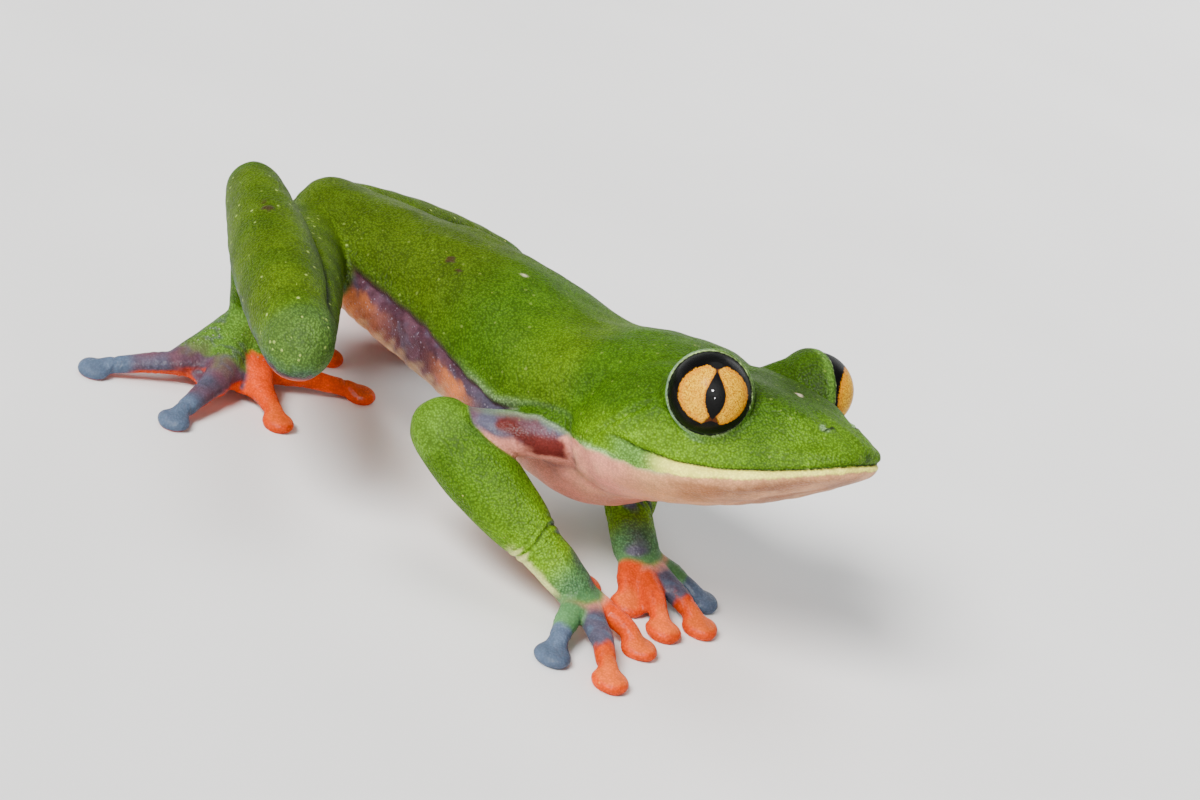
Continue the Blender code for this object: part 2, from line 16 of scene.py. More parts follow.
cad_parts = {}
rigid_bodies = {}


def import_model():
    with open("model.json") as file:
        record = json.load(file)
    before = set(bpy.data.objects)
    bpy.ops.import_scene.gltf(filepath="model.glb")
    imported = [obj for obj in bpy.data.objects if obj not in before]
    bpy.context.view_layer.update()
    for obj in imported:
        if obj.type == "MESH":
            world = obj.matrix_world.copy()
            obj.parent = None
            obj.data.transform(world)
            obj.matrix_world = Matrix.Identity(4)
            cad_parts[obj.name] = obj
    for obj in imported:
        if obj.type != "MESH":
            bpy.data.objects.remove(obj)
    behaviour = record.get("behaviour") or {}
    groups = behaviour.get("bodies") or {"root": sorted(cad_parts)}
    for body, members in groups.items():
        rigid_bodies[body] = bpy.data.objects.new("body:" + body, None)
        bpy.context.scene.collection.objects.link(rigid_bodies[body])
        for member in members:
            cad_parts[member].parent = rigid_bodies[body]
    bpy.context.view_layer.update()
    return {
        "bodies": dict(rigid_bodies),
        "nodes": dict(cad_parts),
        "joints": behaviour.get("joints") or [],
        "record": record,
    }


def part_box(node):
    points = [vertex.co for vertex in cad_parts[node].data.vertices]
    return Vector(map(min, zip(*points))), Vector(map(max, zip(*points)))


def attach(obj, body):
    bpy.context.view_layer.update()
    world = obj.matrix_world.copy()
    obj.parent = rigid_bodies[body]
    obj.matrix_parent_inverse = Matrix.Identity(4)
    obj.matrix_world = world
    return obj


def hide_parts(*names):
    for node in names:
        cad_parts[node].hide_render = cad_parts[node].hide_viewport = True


MM = 0.001
FINENESS = 3                # how many times finer than the solids the skin is drawn

# ---------------------------------------------------------------- driving dimensions, in millimetres
EYE_RADIUS = 3.65
EYE_SPREAD = 9.1          # from the head's middle plane to the middle of an eyeball
EYE_AXIS = (0.50, 0.865, 0.04)   # the way the left eye's lids open, in the head's frame
HEAD_AT = (22.3, 0.0, 25.4)   # the point midway between the eyes
HEAD_YAW, HEAD_PITCH, HEAD_ROLL = 4.0, 20.0, 10.0
BODY_ROLL = 5.0
PAD_HEIGHT, PAD_HALF_THICKNESS = 0.62, 0.95
WEB_THICKNESS = 0.75
WEB_SLOPE = 0.7           # how high a web lies, as a share of the height of the digits beside it

# A section of the head, across its own X axis: x, top, brow edge (y, z), lip (y, z), jowl (y, z), bottom.
HEAD_SECTIONS = [
    (11.5, -3.6, 1.3, -3.8, 2.1, -4.9, 1.2, -5.6, -5.8),
    (10.9, -2.9, 2.4, -3.1, 3.6, -4.9, 2.5, -5.9, -6.2),
    (9.4, -2.0, 3.2, -2.3, 5.4, -5.2, 4.1, -6.5, -6.9),
    (6.8, -0.9, 3.9, -1.3, 7.1, -5.7, 5.6, -7.4, -8.0),
    (3.8, 0.2, 4.7, -0.3, 8.7, -6.2, 6.8, -8.4, -9.1),
    (0.0, 1.2, 5.6, 0.7, 10.0, -6.2, 7.8, -9.2, -10.2),
    (-4.0, 1.7, 6.4, 1.2, 10.6, -5.4, 8.4, -9.5, -10.9),
    (-8.5, 1.9, 7.0, 1.1, 10.9, -4.6, 8.6, -9.6, -11.3),
    (-13.0, 0.8, 6.8, -0.4, 10.0, -5.0, 7.6, -9.5, -11.3),
    (-16.0, -1.5, 4.5, -2.5, 7.0, -5.5, 5.0, -8.0, -9.0),
]

# A section of the trunk, across +X: x, y, z of its middle, half width, height above, depth below.
TRUNK_SECTIONS = [
    (-33.6, 0.0, 16.2, 2.2, 2.4, 2.2),
    (-32.0, 0.0, 16.2, 4.2, 3.9, 3.6),
    (-27.5, 0.0, 15.9, 6.2, 4.8, 5.2),
    (-20.0, 0.0, 15.6, 7.3, 6.2, 6.2),
    (-13.0, 0.0, 15.7, 7.9, 7.2, 7.0),
    (-5.0, 0.0, 16.0, 9.3, 7.3, 8.0),
    (3.0, 0.0, 16.4, 10.2, 6.2, 9.5),
    (10.0, 0.0, 17.6, 10.1, 7.3, 10.7),
    (15.5, 0.0, 19.6, 9.0, 6.4, 9.2),
    (18.5, 0.0, 20.8, 6.5, 4.6, 5.4),
]

# The joints of each limb. Right is -Y.
ARMS = {
    "right": {"shoulder": (10.2, -8.4, 15.6), "elbow": (1.0, -15.6, 12.6), "wrist": (12.6, -12.6, 6.6)},
    "left": {"shoulder": (10.0, 8.4, 14.4), "elbow": (2.0, 13.6, 10.0), "wrist": (11.2, 3.2, 5.6)},
}
LEGS = {
    "right": {"hip": (-29.8, -3.8, 14.4), "knee": (-9.0, -26.6, 18.0), "heel": (-31.2, -11.6, 20.4),
              "ankle": (-31.4, -6.8, 5.4)},
    "left": {"hip": (-29.4, 3.6, 13.2), "knee": (-29.6, 28.8, 6.6), "heel": (-36.4, 7.6, 13.6),
             "ankle": (-38.2, 14.6, 5.2)},
}
# Hands: the middle of the palm, then for each finger its knuckle, its bend and its tip, innermost first.
HANDS = {
    "right": {"palm": (16.6, -10.4, 3.6), "digits": [
        [(16.2, -8.6, 2.8), (15.0, -6.4, 2.0), (13.6, -4.2, 0.9)],
        [(18.2, -9.0, 2.7), (20.8, -8.1, 2.0), (23.6, -7.8, 0.9)],
        [(18.6, -10.4, 2.7), (22.2, -12.4, 2.0), (26.2, -15.2, 0.9)],
        [(17.8, -11.4, 2.9), (19.0, -13.8, 2.1), (20.9, -17.2, 0.9)],
    ]},
    "left": {"palm": (14.2, 1.6, 3.6), "digits": [
        [(14.9, 0.4, 2.8), (16.2, -1.2, 2.0), (17.8, -2.6, 0.9)],
        [(15.8, 0.8, 2.7), (19.0, -0.8, 2.0), (22.4, -2.8, 0.9)],
        [(16.2, 2.0, 2.7), (19.8, 1.8, 2.0), (23.6, 1.4, 0.9)],
        [(15.6, 3.0, 2.8), (17.6, 4.4, 2.0), (20.4, 5.6, 0.9)],
    ]},
}
# Feet: the middle of the sole, then each toe's root, bend and tip, innermost toe first.
FEET = {
    "right": {"palm": (-29.6, -9.4, 2.5), "digits": [
        [(-29.4, -7.0, 1.9), (-29.2, -1.6, 1.6), (-29.0, 4.2, 0.9)],
        [(-27.8, -7.8, 2.0), (-25.2, -3.6, 1.7), (-21.9, 1.6, 0.9)],
        [(-26.8, -9.6, 2.2), (-24.0, -10.6, 1.8), (-20.5, -11.6, 0.9)],
        [(-27.4, -12.0, 2.4), (-26.0, -16.8, 1.9), (-24.4, -22.0, 0.9)],
        [(-29.6, -12.6, 2.5), (-32.2, -17.2, 1.9), (-35.0, -22.8, 0.9)],
    ]},
    "left": {"palm": (-36.0, 17.6, 2.4), "digits": [
        [(-34.0, 16.4, 1.9), (-30.6, 15.2, 1.5), (-26.6, 14.6, 0.9)],
        [(-33.2, 17.6, 1.9), (-28.8, 18.2, 1.5), (-23.8, 19.4, 0.9)],
        [(-33.2, 18.8, 2.0), (-28.4, 21.4, 1.5), (-22.6, 24.6, 0.9)],
        [(-34.0, 20.2, 2.1), (-30.2, 24.8, 1.5), (-25.0, 30.6, 0.9)],
        [(-35.8, 20.8, 2.1), (-36.2, 26.0, 1.7), (-35.4, 32.0, 0.9)],
    ]},
}

# Half thickness of each limb segment along its bone: share of its length, half width, half height.
LIMB_PROFILES = {
    "upper_arm": [(-0.12, 2.2, 2.2), (0.0, 2.5, 2.5), (0.4, 2.2, 2.2), (0.8, 2.2, 2.2), (1.0, 2.6, 2.7)],
    "forearm": [(0.0, 3.1, 3.2), (0.2, 3.4, 3.5), (0.5, 3.3, 3.5), (0.8, 2.8, 3.0), (1.0, 2.3, 2.5)],
    "thigh": [(-0.1, 3.4, 3.6), (0.1, 4.0, 4.4), (0.45, 4.0, 4.4), (0.8, 3.6, 4.0), (1.0, 3.3, 3.6)],
    "shank": [(0.0, 3.4, 3.6), (0.25, 4.0, 4.1), (0.55, 4.1, 4.1), (0.85, 3.3, 3.5), (1.0, 2.8, 2.9)],
    "tarsus": [(0.0, 2.4, 2.5), (0.3, 2.1, 2.3), (0.7, 1.9, 2.1), (1.0, 2.0, 2.0)],
}
# Hands and feet. sizes: half width and half height of a digit at its root and tip, and of the wrist or ankle.
# web: how far along the digits the skin between them reaches. pad: the radius of the round tips.
EXTREMITIES = {
    "hand": {"root": (1.3, 1.2), "tip": (0.95, 0.85), "wrist": (2.2, 2.3), "web": 0.36, "pad": 1.85},
    "foot": {"root": (1.5, 1.2), "tip": (0.9, 0.8), "wrist": (2.0, 2.0), "web": 0.66, "pad": 1.7},
}
PALM_SIZE, PALM_RAY_SIZE, DORSUM_SIZE = (2.4, 1.8), (1.9, 1.5), (1.7, 1.5)
DORSUM_REACH = 0.3        # how far along the toes the back of the foot slopes down


# ---------------------------------------------------------------- shapes
def through(rows, steps, closed=False):
    """Smooth rows through the given ones, by Catmull-Rom, with this many steps from each to the next."""
    steps *= FINENESS
    count = len(rows)
    out = []
    for i in range(count if closed else count - 1):
        near = [i - 1, i, i + 1, i + 2]
        near = [n % count if closed else min(max(n, 0), count - 1) for n in near]
        p, q, r, s = (rows[n] for n in near)
        for step in range(steps):
            t = step / steps
            out.append([
                b + t / 2 * (c - a + t * (2 * a - 5 * b + 4 * c - d + t * (3 * b - a - 3 * c + d)))
                for a, b, c, d in zip(p, q, r, s)
            ])
    return out if closed else out + [list(rows[-1])]


def loft(rings):
    """A closed surface through rings of equally many points, with a fan at each end."""
    bm = bmesh.new()
    loops = [[bm.verts.new(point) for point in ring] for ring in rings]
    count = len(loops[0])
    for one, two in zip(loops, loops[1:]):
        for i in range(count):
            j = (i + 1) % count
            bm.faces.new((one[i], one[j], two[j], two[i]))
    for loop in (loops[0], loops[-1]):
        middle = bm.verts.new(sum((v.co for v in loop), Vector()) / count)
        for i in range(count):
            bm.faces.new((loop[i], loop[(i + 1) % count], middle))
    bmesh.ops.recalc_face_normals(bm, faces=bm.faces)
    return bm


def ellipsoid(middle, radii, sides=20):
    """An ellipsoid about a point."""
    bm = bmesh.new()
    bmesh.ops.create_uvsphere(bm, u_segments=sides, v_segments=sides // 2, radius=1.0)
    bmesh.ops.transform(bm, verts=bm.verts, matrix=Matrix.Diagonal((*radii, 1.0)))
    bmesh.ops.transform(bm, verts=bm.verts, matrix=Matrix.Translation(middle))
    return bm


def tube(rows, sides=20):
    """A limb or digit: rows of x, y, z, half width and half height, with rounded ends."""
    rows = [list(row) for row in rows]
    for end, step in ((0, 1), (-1, -1)):
        here = Vector(rows[end][:3])
        away = (here - Vector(rows[end + step][:3])).normalized()
        reach = min(rows[end][3:])
        cap = [
            [*(here + away * reach * math.sin(a)), rows[end][3] * math.cos(a), rows[end][4] * math.cos(a)]
            for a in (0.5, 1.0, 1.35)
        ]
        rows = cap[::-1] + rows if end == 0 else rows + cap
    rings = []
    for i, (x, y, z, width, height) in enumerate(rows):
        behind, ahead = rows[max(i - 1, 0)], rows[min(i + 1, len(rows) - 1)]
        along = (Vector(ahead[:3]) - Vector(behind[:3])).normalized()
        side = along.cross(Vector((0, 0, 1))).normalized()
        top = side.cross(along)
        turns = [2 * math.pi * k / (sides * FINENESS) for k in range(sides * FINENESS)]
        rings.append([
            Vector((x, y, z)) + side * width * math.cos(a) + top * height * math.sin(a) for a in turns
        ])
    return loft(rings)


def segment(start, end, profile):
    """A limb segment along the bone from one joint to the next."""
    a, b = Vector(start), Vector(end)
    rows = [[*(a + (b - a) * share), width, height] for share, width, height in profile]
    return tube(through(rows, 5))


def head_frame():
    """Where the head's own axes lie in the frog's: +X to the snout, +Y left, +Z up, between the eyes."""
    turn = (
        Matrix.Rotation(math.radians(HEAD_YAW), 4, "Z")
        @ Matrix.Rotation(math.radians(-HEAD_PITCH), 4, "Y")
        @ Matrix.Rotation(math.radians(-HEAD_ROLL), 4, "X")
    )
    return Matrix.Translation(HEAD_AT) @ turn


def head_shape():
    rings = []
    for x, top, brow_y, brow_z, lip_y, lip_z, jowl_y, jowl_z, bottom in through(HEAD_SECTIONS, 4):
        half = [(brow_y, brow_z), (lip_y, lip_z), (jowl_y, jowl_z)]
        loop = [(0, top), *half, (0, bottom), *[(-y, z) for y, z in reversed(half)]]
        rings.append([head_frame() @ Vector((x, y, z)) for y, z in through(loop, 5, closed=True)])
    return loft(rings)


def trunk_shape():
    roll = Matrix.Rotation(math.radians(-BODY_ROLL), 3, "X")
    sides, squareness = 40 * FINENESS, 0.92
    rings = []
    for x, y, z, width, above, below in through(TRUNK_SECTIONS, 4):
        ring = []
        for k in range(sides):
            c, s = (f(2 * math.pi * k / sides) for f in (math.cos, math.sin))
            across = math.copysign(abs(c) ** squareness, c) * width
            height = math.copysign(abs(s) ** squareness, s) * (above if s > 0 else below)
            ring.append(Vector((x, y, z)) + roll @ Vector((0, across, height)))
        rings.append(ring)
    return loft(rings)


def eye_middle(side):
    return head_frame() @ Vector((0, side * EYE_SPREAD, 0))


def eye_axis(side):
    """The way an eye's lids open: outwards and somewhat forwards."""
    x, y, z = EYE_AXIS
    return head_frame().to_3x3() @ Vector((x, side * y, z)).normalized()


def digit_shape(points, size):
    """A finger or toe along its joints, thinner towards the tip, with a round flat pad at its end."""
    root, tip = Vector(size["root"]), Vector(size["tip"])
    rows = [[*point, *thickness] for point, thickness in zip(points, (root, (root + tip) / 2, tip))]
    pad_middle = (*points[-1][:2], PAD_HEIGHT)
    pad_radii = (size["pad"], size["pad"], PAD_HALF_THICKNESS)
    return [tube(through(rows, 6), 14), ellipsoid(pad_middle, pad_radii)]


def rim_of(sheet):
    """The points round the edge of a grid of rows, in order."""
    return sheet[0] + [row[-1] for row in sheet[1:-1]] + sheet[-1][::-1] + [row[0] for row in sheet[-2:0:-1]]


def web_shape(root, one, other, reach):
    """The skin between two digits: a thin sheet from the palm, its free edge drawn in."""
    steps, drawn_in, lowest = 8, 0.32, 0.5
    bm = bmesh.new()
    grid = []
    for i in range(steps + 1):
        a, b = (point_along([root, *digit], reach * i / steps) for digit in (one, other))
        row = []
        for k in range(steps + 1):
            reach_here = 1 - drawn_in * math.sin(math.pi * k / steps) * i / steps
            point = Vector(root).lerp(a.lerp(b, k / steps), reach_here)
            row.append(Vector((point.x, point.y, max(point.z * WEB_SLOPE, lowest))))
        grid.append(row)
    sheets = []
    for lift in (-WEB_THICKNESS / 2, WEB_THICKNESS / 2):
        sheet = [[bm.verts.new(point + Vector((0, 0, lift))) for point in row] for row in grid]
        for one_row, two_row in zip(sheet, sheet[1:]):
            for k in range(steps):
                bm.faces.new((one_row[k], one_row[k + 1], two_row[k + 1], two_row[k]))
        sheets.append(sheet)
    low, high = map(rim_of, sheets)
    for i in range(len(low)):
        j = (i + 1) % len(low)
        bm.faces.new((low[i], low[j], high[j], high[i]))
    bmesh.ops.recalc_face_normals(bm, faces=bm.faces)
    return bm


def point_along(points, share):
    """The point this share of the way along a line of points."""
    points = [Vector(p) for p in points]
    lengths = [(b - a).length for a, b in zip(points, points[1:])]
    left = share * sum(lengths)
    for a, b, length in zip(points, points[1:], lengths):
        if left <= length:
            return a.lerp(b, left / length)
        left -= length
    return points[-1]


def extremity_shapes(kind, plan, joint, behind):
    """A hand or foot: its wrist and palm, its digits with their pads, and the webs between them."""
    size, palm, digits = EXTREMITIES[kind], plan["palm"], plan["digits"]
    back = Vector(joint) + (Vector(behind) - Vector(joint)).normalized() * 2.0
    wrist = [[*back, *size["wrist"]], [*joint, *size["wrist"]], [*palm, *PALM_SIZE]]
    shapes = [tube(through(wrist, 5))]
    for points in digits:
        shapes += digit_shape(points, size)
        ray = [[*palm, *PALM_RAY_SIZE], [*points[0], *size["root"]]]
        shapes.append(tube(through(ray, 4), 14))
        if kind == "foot":
            low = point_along(points, DORSUM_REACH)
            halfway = (Vector(joint) + low) / 2
            dorsum = [[*joint, *size["wrist"]], [*halfway, *DORSUM_SIZE], [*low, *size["root"]]]
            shapes.append(tube(through(dorsum, 4), 14))
    return shapes + [web_shape(palm, a, b, size["web"]) for a, b in zip(digits, digits[1:])]


# ---------------------------------------------------------------- the one skin
SKIN_VOXEL = 0.2          # the spacing of the skin's points
EVEN_ROUNDS, SMOOTH_ROUNDS, JOIN_ROUNDS = 7, 16, 40   # of smoothing: everywhere, on the body, where limbs join it
LID, LID_EDGE_THICKNESS = 0.45, 0.13   # how far the lids stand out from the eyeball, and at their edge
LID_BRIM = 0.38           # how far the lids' edge lies out from the eyeball's middle
LID_RINGS, LID_SIDES, RIDGE_SIDES = 24, 72, 40
LID_TAPER, LID_TAPER_POWER = 1.3, 0.6   # how far back from the brim the lids reach their full thickness
RIDGE_WAY = (-5.0, -2.6, -1.5)   # how the left eye's ridge runs, in the head's frame: back, inwards and down
RIDGE_RADII = ((0.0, 3.1), (0.35, 2.9), (0.7, 2.5), (1.0, 1.9))   # share of the way, radius
# The line of the mouth, in the head's frame: x, z.
MOUTH_LINE = [(11.7, -4.9), (9.0, -5.5), (6.0, -6.0), (2.0, -6.4), (-2.0, -6.3), (-5.5, -5.7), (-8.2, -4.9)]
NOSTRIL_AT = (8.4, 3.0, -1.7)    # the left nostril in the head's frame, before the snout is carved
EAR_AT = (-6.9, -3.0)            # an eardrum in the head's frame: x, z
# The border between the green back and the purple flank: x, height above the middle of the trunk.
FLANK_BORDER = [
    (-40.0, 0.6), (-22.0, 0.6), (-17.0, 0.3), (-13.4, 0.1), (-9.5, -0.1), (-4.4, -1.3), (-2.4, -1.8), (1.7, -2.5),
    (6.2, -1.3), (10.5, -2.2), (13.1, -2.7), (24.0, -2.7),
]
SIDES = {"right": -1, "left": 1}   # and the sign of y on each
SEGMENTS = {
    "upper_arm": ("shoulder", "elbow"), "forearm": ("elbow", "wrist"),
    "thigh": ("hip", "knee"), "shank": ("knee", "heel"), "tarsus": ("heel", "ankle"),
}
ENDS = {"hand": (HANDS, "wrist", "elbow"), "foot": (FEET, "ankle", "heel")}
JOINTS = {side: {**ARMS[side], **LEGS[side]} for side in SIDES}


def rows_of(points):
    return np.array(points, dtype=float)


def ramp(low, high, value):
    """A smooth step from 0 at low to 1 at high. low may be above high."""
    t = np.clip((value - low) / (high - low), 0.0, 1.0)
    return t * t * (3 - 2 * t)


def bump(distance, width):
    """A soft hump that is 1 at 0 and dies away over the width."""
    return np.exp(-(distance / width) ** 2)


def distance_to(points, place):
    return np.linalg.norm(points - rows_of(place), axis=1)


def on_line(line, x):
    """The height of a line of x, height at each x."""
    line = rows_of(line)
    line = line[line[:, 0].argsort()]
    return np.interp(x, line[:, 0], line[:, 1])


def joined(shapes):
    whole = bmesh.new()
    for shape in shapes:
        mesh = bpy.data.meshes.new("shape")
        shape.to_mesh(mesh)
        shape.free()
        whole.from_mesh(mesh)
        bpy.data.meshes.remove(mesh)
    return whole


def circle(radius, height, sides):
    turns = (2 * math.pi * i / sides for i in range(sides))
    return [Vector((radius * math.cos(a), radius * math.sin(a), height)) for a in turns]


def eye_bulge(side):
    """The lids round an eyeball: a cup that thins out towards its brim, where the eye looks out."""
    turn = eye_axis(side).to_track_quat("Z", "Y").to_matrix().to_4x4()
    place = Matrix.Translation(eye_middle(side)) @ turn
    rings = []
    for k in range(LID_RINGS + 1):
        height = LID_BRIM - (LID_BRIM + EYE_RADIUS) * (1 - math.cos(math.pi / 2 * k / LID_RINGS))
        bare = math.sqrt(max(EYE_RADIUS ** 2 - height ** 2, 0.0))
        full = min((LID_BRIM - height) / LID_TAPER, 1.0) ** LID_TAPER_POWER
        radius = bare + (LID_EDGE_THICKNESS + (LID - LID_EDGE_THICKNESS) * full)
        rings.append([place @ point for point in circle(radius, height, LID_SIDES)])
    return loft(rings)


def eye_ridge(side):
    """The ridge that runs from the lids back and inwards into the top of the head."""
    middle, frame = eye_middle(side), head_frame().to_3x3()
    back, inwards, down = RIDGE_WAY
    turn = (frame @ Vector((back, side * inwards, down))).to_track_quat("Z", "Y").to_matrix()
    rings = []
    for share, radius in RIDGE_RADII:
        shift = Vector((-0.6 + back * share, -side * (0.5 - inwards * share), 0.2 + down * share))
        rings.append([middle + frame @ shift + turn @ point for point in circle(radius, 0, RIDGE_SIDES)])
    return loft(rings)


def skin_shapes():
    shapes = [head_shape(), trunk_shape(), *(shape(side) for shape in (eye_bulge, eye_ridge) for side in (1, -1))]
    for side in SIDES:
        joints = JOINTS[side]
        shapes += [segment(joints[a], joints[b], LIMB_PROFILES[kind]) for kind, (a, b) in SEGMENTS.items()]
        for kind, (plans, joint, behind) in ENDS.items():
            shapes += extremity_shapes(kind, plans[side], joints[joint], joints[behind])
    return shapes


def read(things, name, width, kind=np.float32):
    flat = np.empty(len(things) * width, kind)
    things.foreach_get(name, flat)
    return flat.reshape(-1, width)


class Skin:
    """The skin's points in millimetres, their normals, and a way to smooth them."""

    def __init__(self, obj):
        self.mesh = obj.data
        self.points = read(self.mesh.vertices, "co", 3).astype(float) / MM
        self.ends = read(self.mesh.edges, "vertices", 2, np.int32).T
        self.valence = np.bincount(self.ends.ravel(), minlength=len(self.points))

    def store(self):
        self.mesh.vertices.foreach_set("co", (self.points * MM).astype(np.float32).ravel())
        self.mesh.update()

    def normals(self):
        self.store()
        return read(self.mesh.vertex_normals, "vector", 3).astype(float)

    def around(self):
        """The mean of each point's neighbours."""
        (a, b), count = self.ends, len(self.points)
        sums = [np.bincount(a, line[b], count) + np.bincount(b, line[a], count) for line in self.points.T]
        return np.stack([line / self.valence for line in sums], axis=1)

    def relax(self, where, rounds):
        """Moves each point half way to the mean of its neighbours, and less where "where" is below 1."""
        for _ in range(rounds):
            self.points += (self.around() - self.points) * (0.5 * where)[:, None]


def line_distance(points, line):
    """How far each point lies from a line of points with radii, past the radius, and how far along it (0 to 1)."""
    line = rows_of(line)
    best, along = np.full(len(points), np.inf), np.zeros(len(points))
    for i, (a, b) in enumerate(zip(line, line[1:])):
        way = b[:3] - a[:3]
        t = np.clip((points - a[:3]) @ way / (way @ way), 0.0, 1.0)
        away = distance_to(points - a[:3], t[:, None] * way) - (a[3] + (b[3] - a[3]) * t)
        closer = away < best
        best[closer] = away[closer]
        along[closer] = (i + t[closer]) / (len(line) - 1)
    return best, along


def limb_fields(points):
    """For each limb segment and digit, how far the skin's points lie from it and how far along it."""
    fields = {}
    for side in SIDES:
        joints = JOINTS[side]
        for kind, (start, end) in SEGMENTS.items():
            a, b = Vector(joints[start]), Vector(joints[end])
            line = [(*(a + (b - a) * share), (width + height) / 2) for share, width, height in LIMB_PROFILES[kind]]
            fields[kind, side] = line_distance(points, line)
        for kind, (plans, joint, _) in ENDS.items():
            line = [(*joints[joint], 2.2), (*plans[side]["palm"], 2.1)]
            fields[kind, side] = line_distance(points, line)
            for number, (root, bend, tip) in enumerate(plans[side]["digits"], 1):
                line = [(*root, 1.2), (*bend, 1.0), (*tip, EXTREMITIES[kind]["pad"])]
                fields[kind, side, number] = line_distance(points, line)
    return fields


def nearest(fields, *kinds):
    """How far each point lies from the nearest limb of these kinds, or from the nearest of all."""
    names = [(kind, side) for kind in kinds for side in SIDES] or fields
    return np.min([fields[name][0] for name in names], axis=0)


def in_head(points):
    """The points in the head's own frame."""
    turn = rows_of(head_frame().inverted())
    return points @ turn[:3, :3].T + turn[:3, 3]


def carve_head(skin):
    """The mouth, eardrums, neck folds, nostrils and brow ridges, and the hollow sides of the snout."""
    points, out = skin.points, skin.normals()
    head = in_head(points)
    x, y, z = head.T
    on_head = ramp(-17.0, -14.0, x)
    past_mouth = z - on_line(MOUTH_LINE, x)
    lips = ramp(-9.0, -7.4, x) * ramp(0.8, 2.2, np.hypot(y, np.clip(x - 7.0, 0.0, None)))
    move = lips * (0.16 * bump(past_mouth + 0.75, 0.5) - 0.32 * bump(past_mouth, 0.26))
    ear = np.hypot(x - EAR_AT[0], z - EAR_AT[1])
    ear_rim = 0.04 * bump(ear - 1.4, 0.30) - 0.05 * ramp(1.3, 0.9, ear)
    hole = bump(np.hypot((x - NOSTRIL_AT[0]) * 1.6, z - NOSTRIL_AT[2]), 0.20)
    snout = ramp(5.0, 8.0, x) * ramp(12.5, 11.0, x) * ramp(-4.3, -3.0, z)
    for side in (1, -1):
        mirrored = head * (1, side, 1)
        outwards = mirrored[:, 1]
        move += ramp(4.0, 6.0, outwards) * ear_rim
        fold, _ = line_distance(mirrored, [
            (-4.4, 9.4, -1.0, 0), (-6.6, 9.8, -2.2, 0), (-8.8, 10.6, -4.0, 0), (-11.0, 10.6, -5.9, 0),
        ])
        move += (0.24 * bump(fold - 0.55, 0.5) - 0.30 * bump(fold + 0.05, 0.24)) * (outwards > 0)
        nostril = distance_to(mirrored, NOSTRIL_AT)
        move += 0.14 * bump(nostril, 0.60) - 0.34 * hole * (nostril < 1.2)
        ridge, _ = line_distance(mirrored, [(3.4, 5.4, 0.0, 0), (7.0, 3.9, -1.0, 0), (10.6, 2.0, -2.8, 0)])
        move += 0.22 * bump(ridge, 0.8) * ramp(8.0, 5.0, x)
        move -= 0.42 * snout * ramp(0.6, 2.0, outwards)
    wrinkle = np.sin(1.9 * x + 0.9 * np.sin(0.8 * y + 0.5 * x)) * np.sin(0.55 * y + 0.3 * x)
    move += 0.07 * wrinkle * ramp(-7.2, -8.6, z) * on_head
    move = np.where(move > 0, move * ramp(11.4, 9.6, x), move)
    skin.points = points + out * (move * on_head)[:, None]


def wrist_bend(points, side):
    """How far past the wrist each point lies along the forearm, on lines that curve across it."""
    elbow, wrist = (rows_of(ARMS[side][joint]) for joint in ("elbow", "wrist"))
    way = (wrist - elbow) / np.linalg.norm(wrist - elbow)
    across = (points - wrist) @ np.cross(way, (0, 0, 1))
    return (points - wrist) @ way - 0.12 * across ** 2 + 0.10 * np.sin(2.3 * across)


def carve_digits(points, fields, side):
    """The neck behind each pad, the knuckle half way along each digit and the dish in each pad."""
    move = np.zeros(len(points))
    for kind, (plans, _, _) in ENDS.items():
        pad = EXTREMITIES[kind]["pad"]
        for number, digit in enumerate(plans[side]["digits"], 1):
            distance, along = fields[kind, side, number]
            own = ramp(0.7, 0.1, distance) * ramp(0.4, 1.0, points[:, 2])
            from_tip = np.linalg.norm((points - digit[2])[:, :2], axis=1)
            neck = bump(from_tip - pad - 0.25, 0.22) * ramp(0.5, 0.9, along)
            knuckle = bump(along - 0.5, 0.08) - 0.8 * bump(along - 0.5, 0.025) - 0.5 * bump(along - 0.56, 0.02)
            dish = ramp(0.8 * pad, 0.2, from_tip)
            move += own * (0.10 * knuckle - 0.14 * neck - 0.10 * dish)
    return move


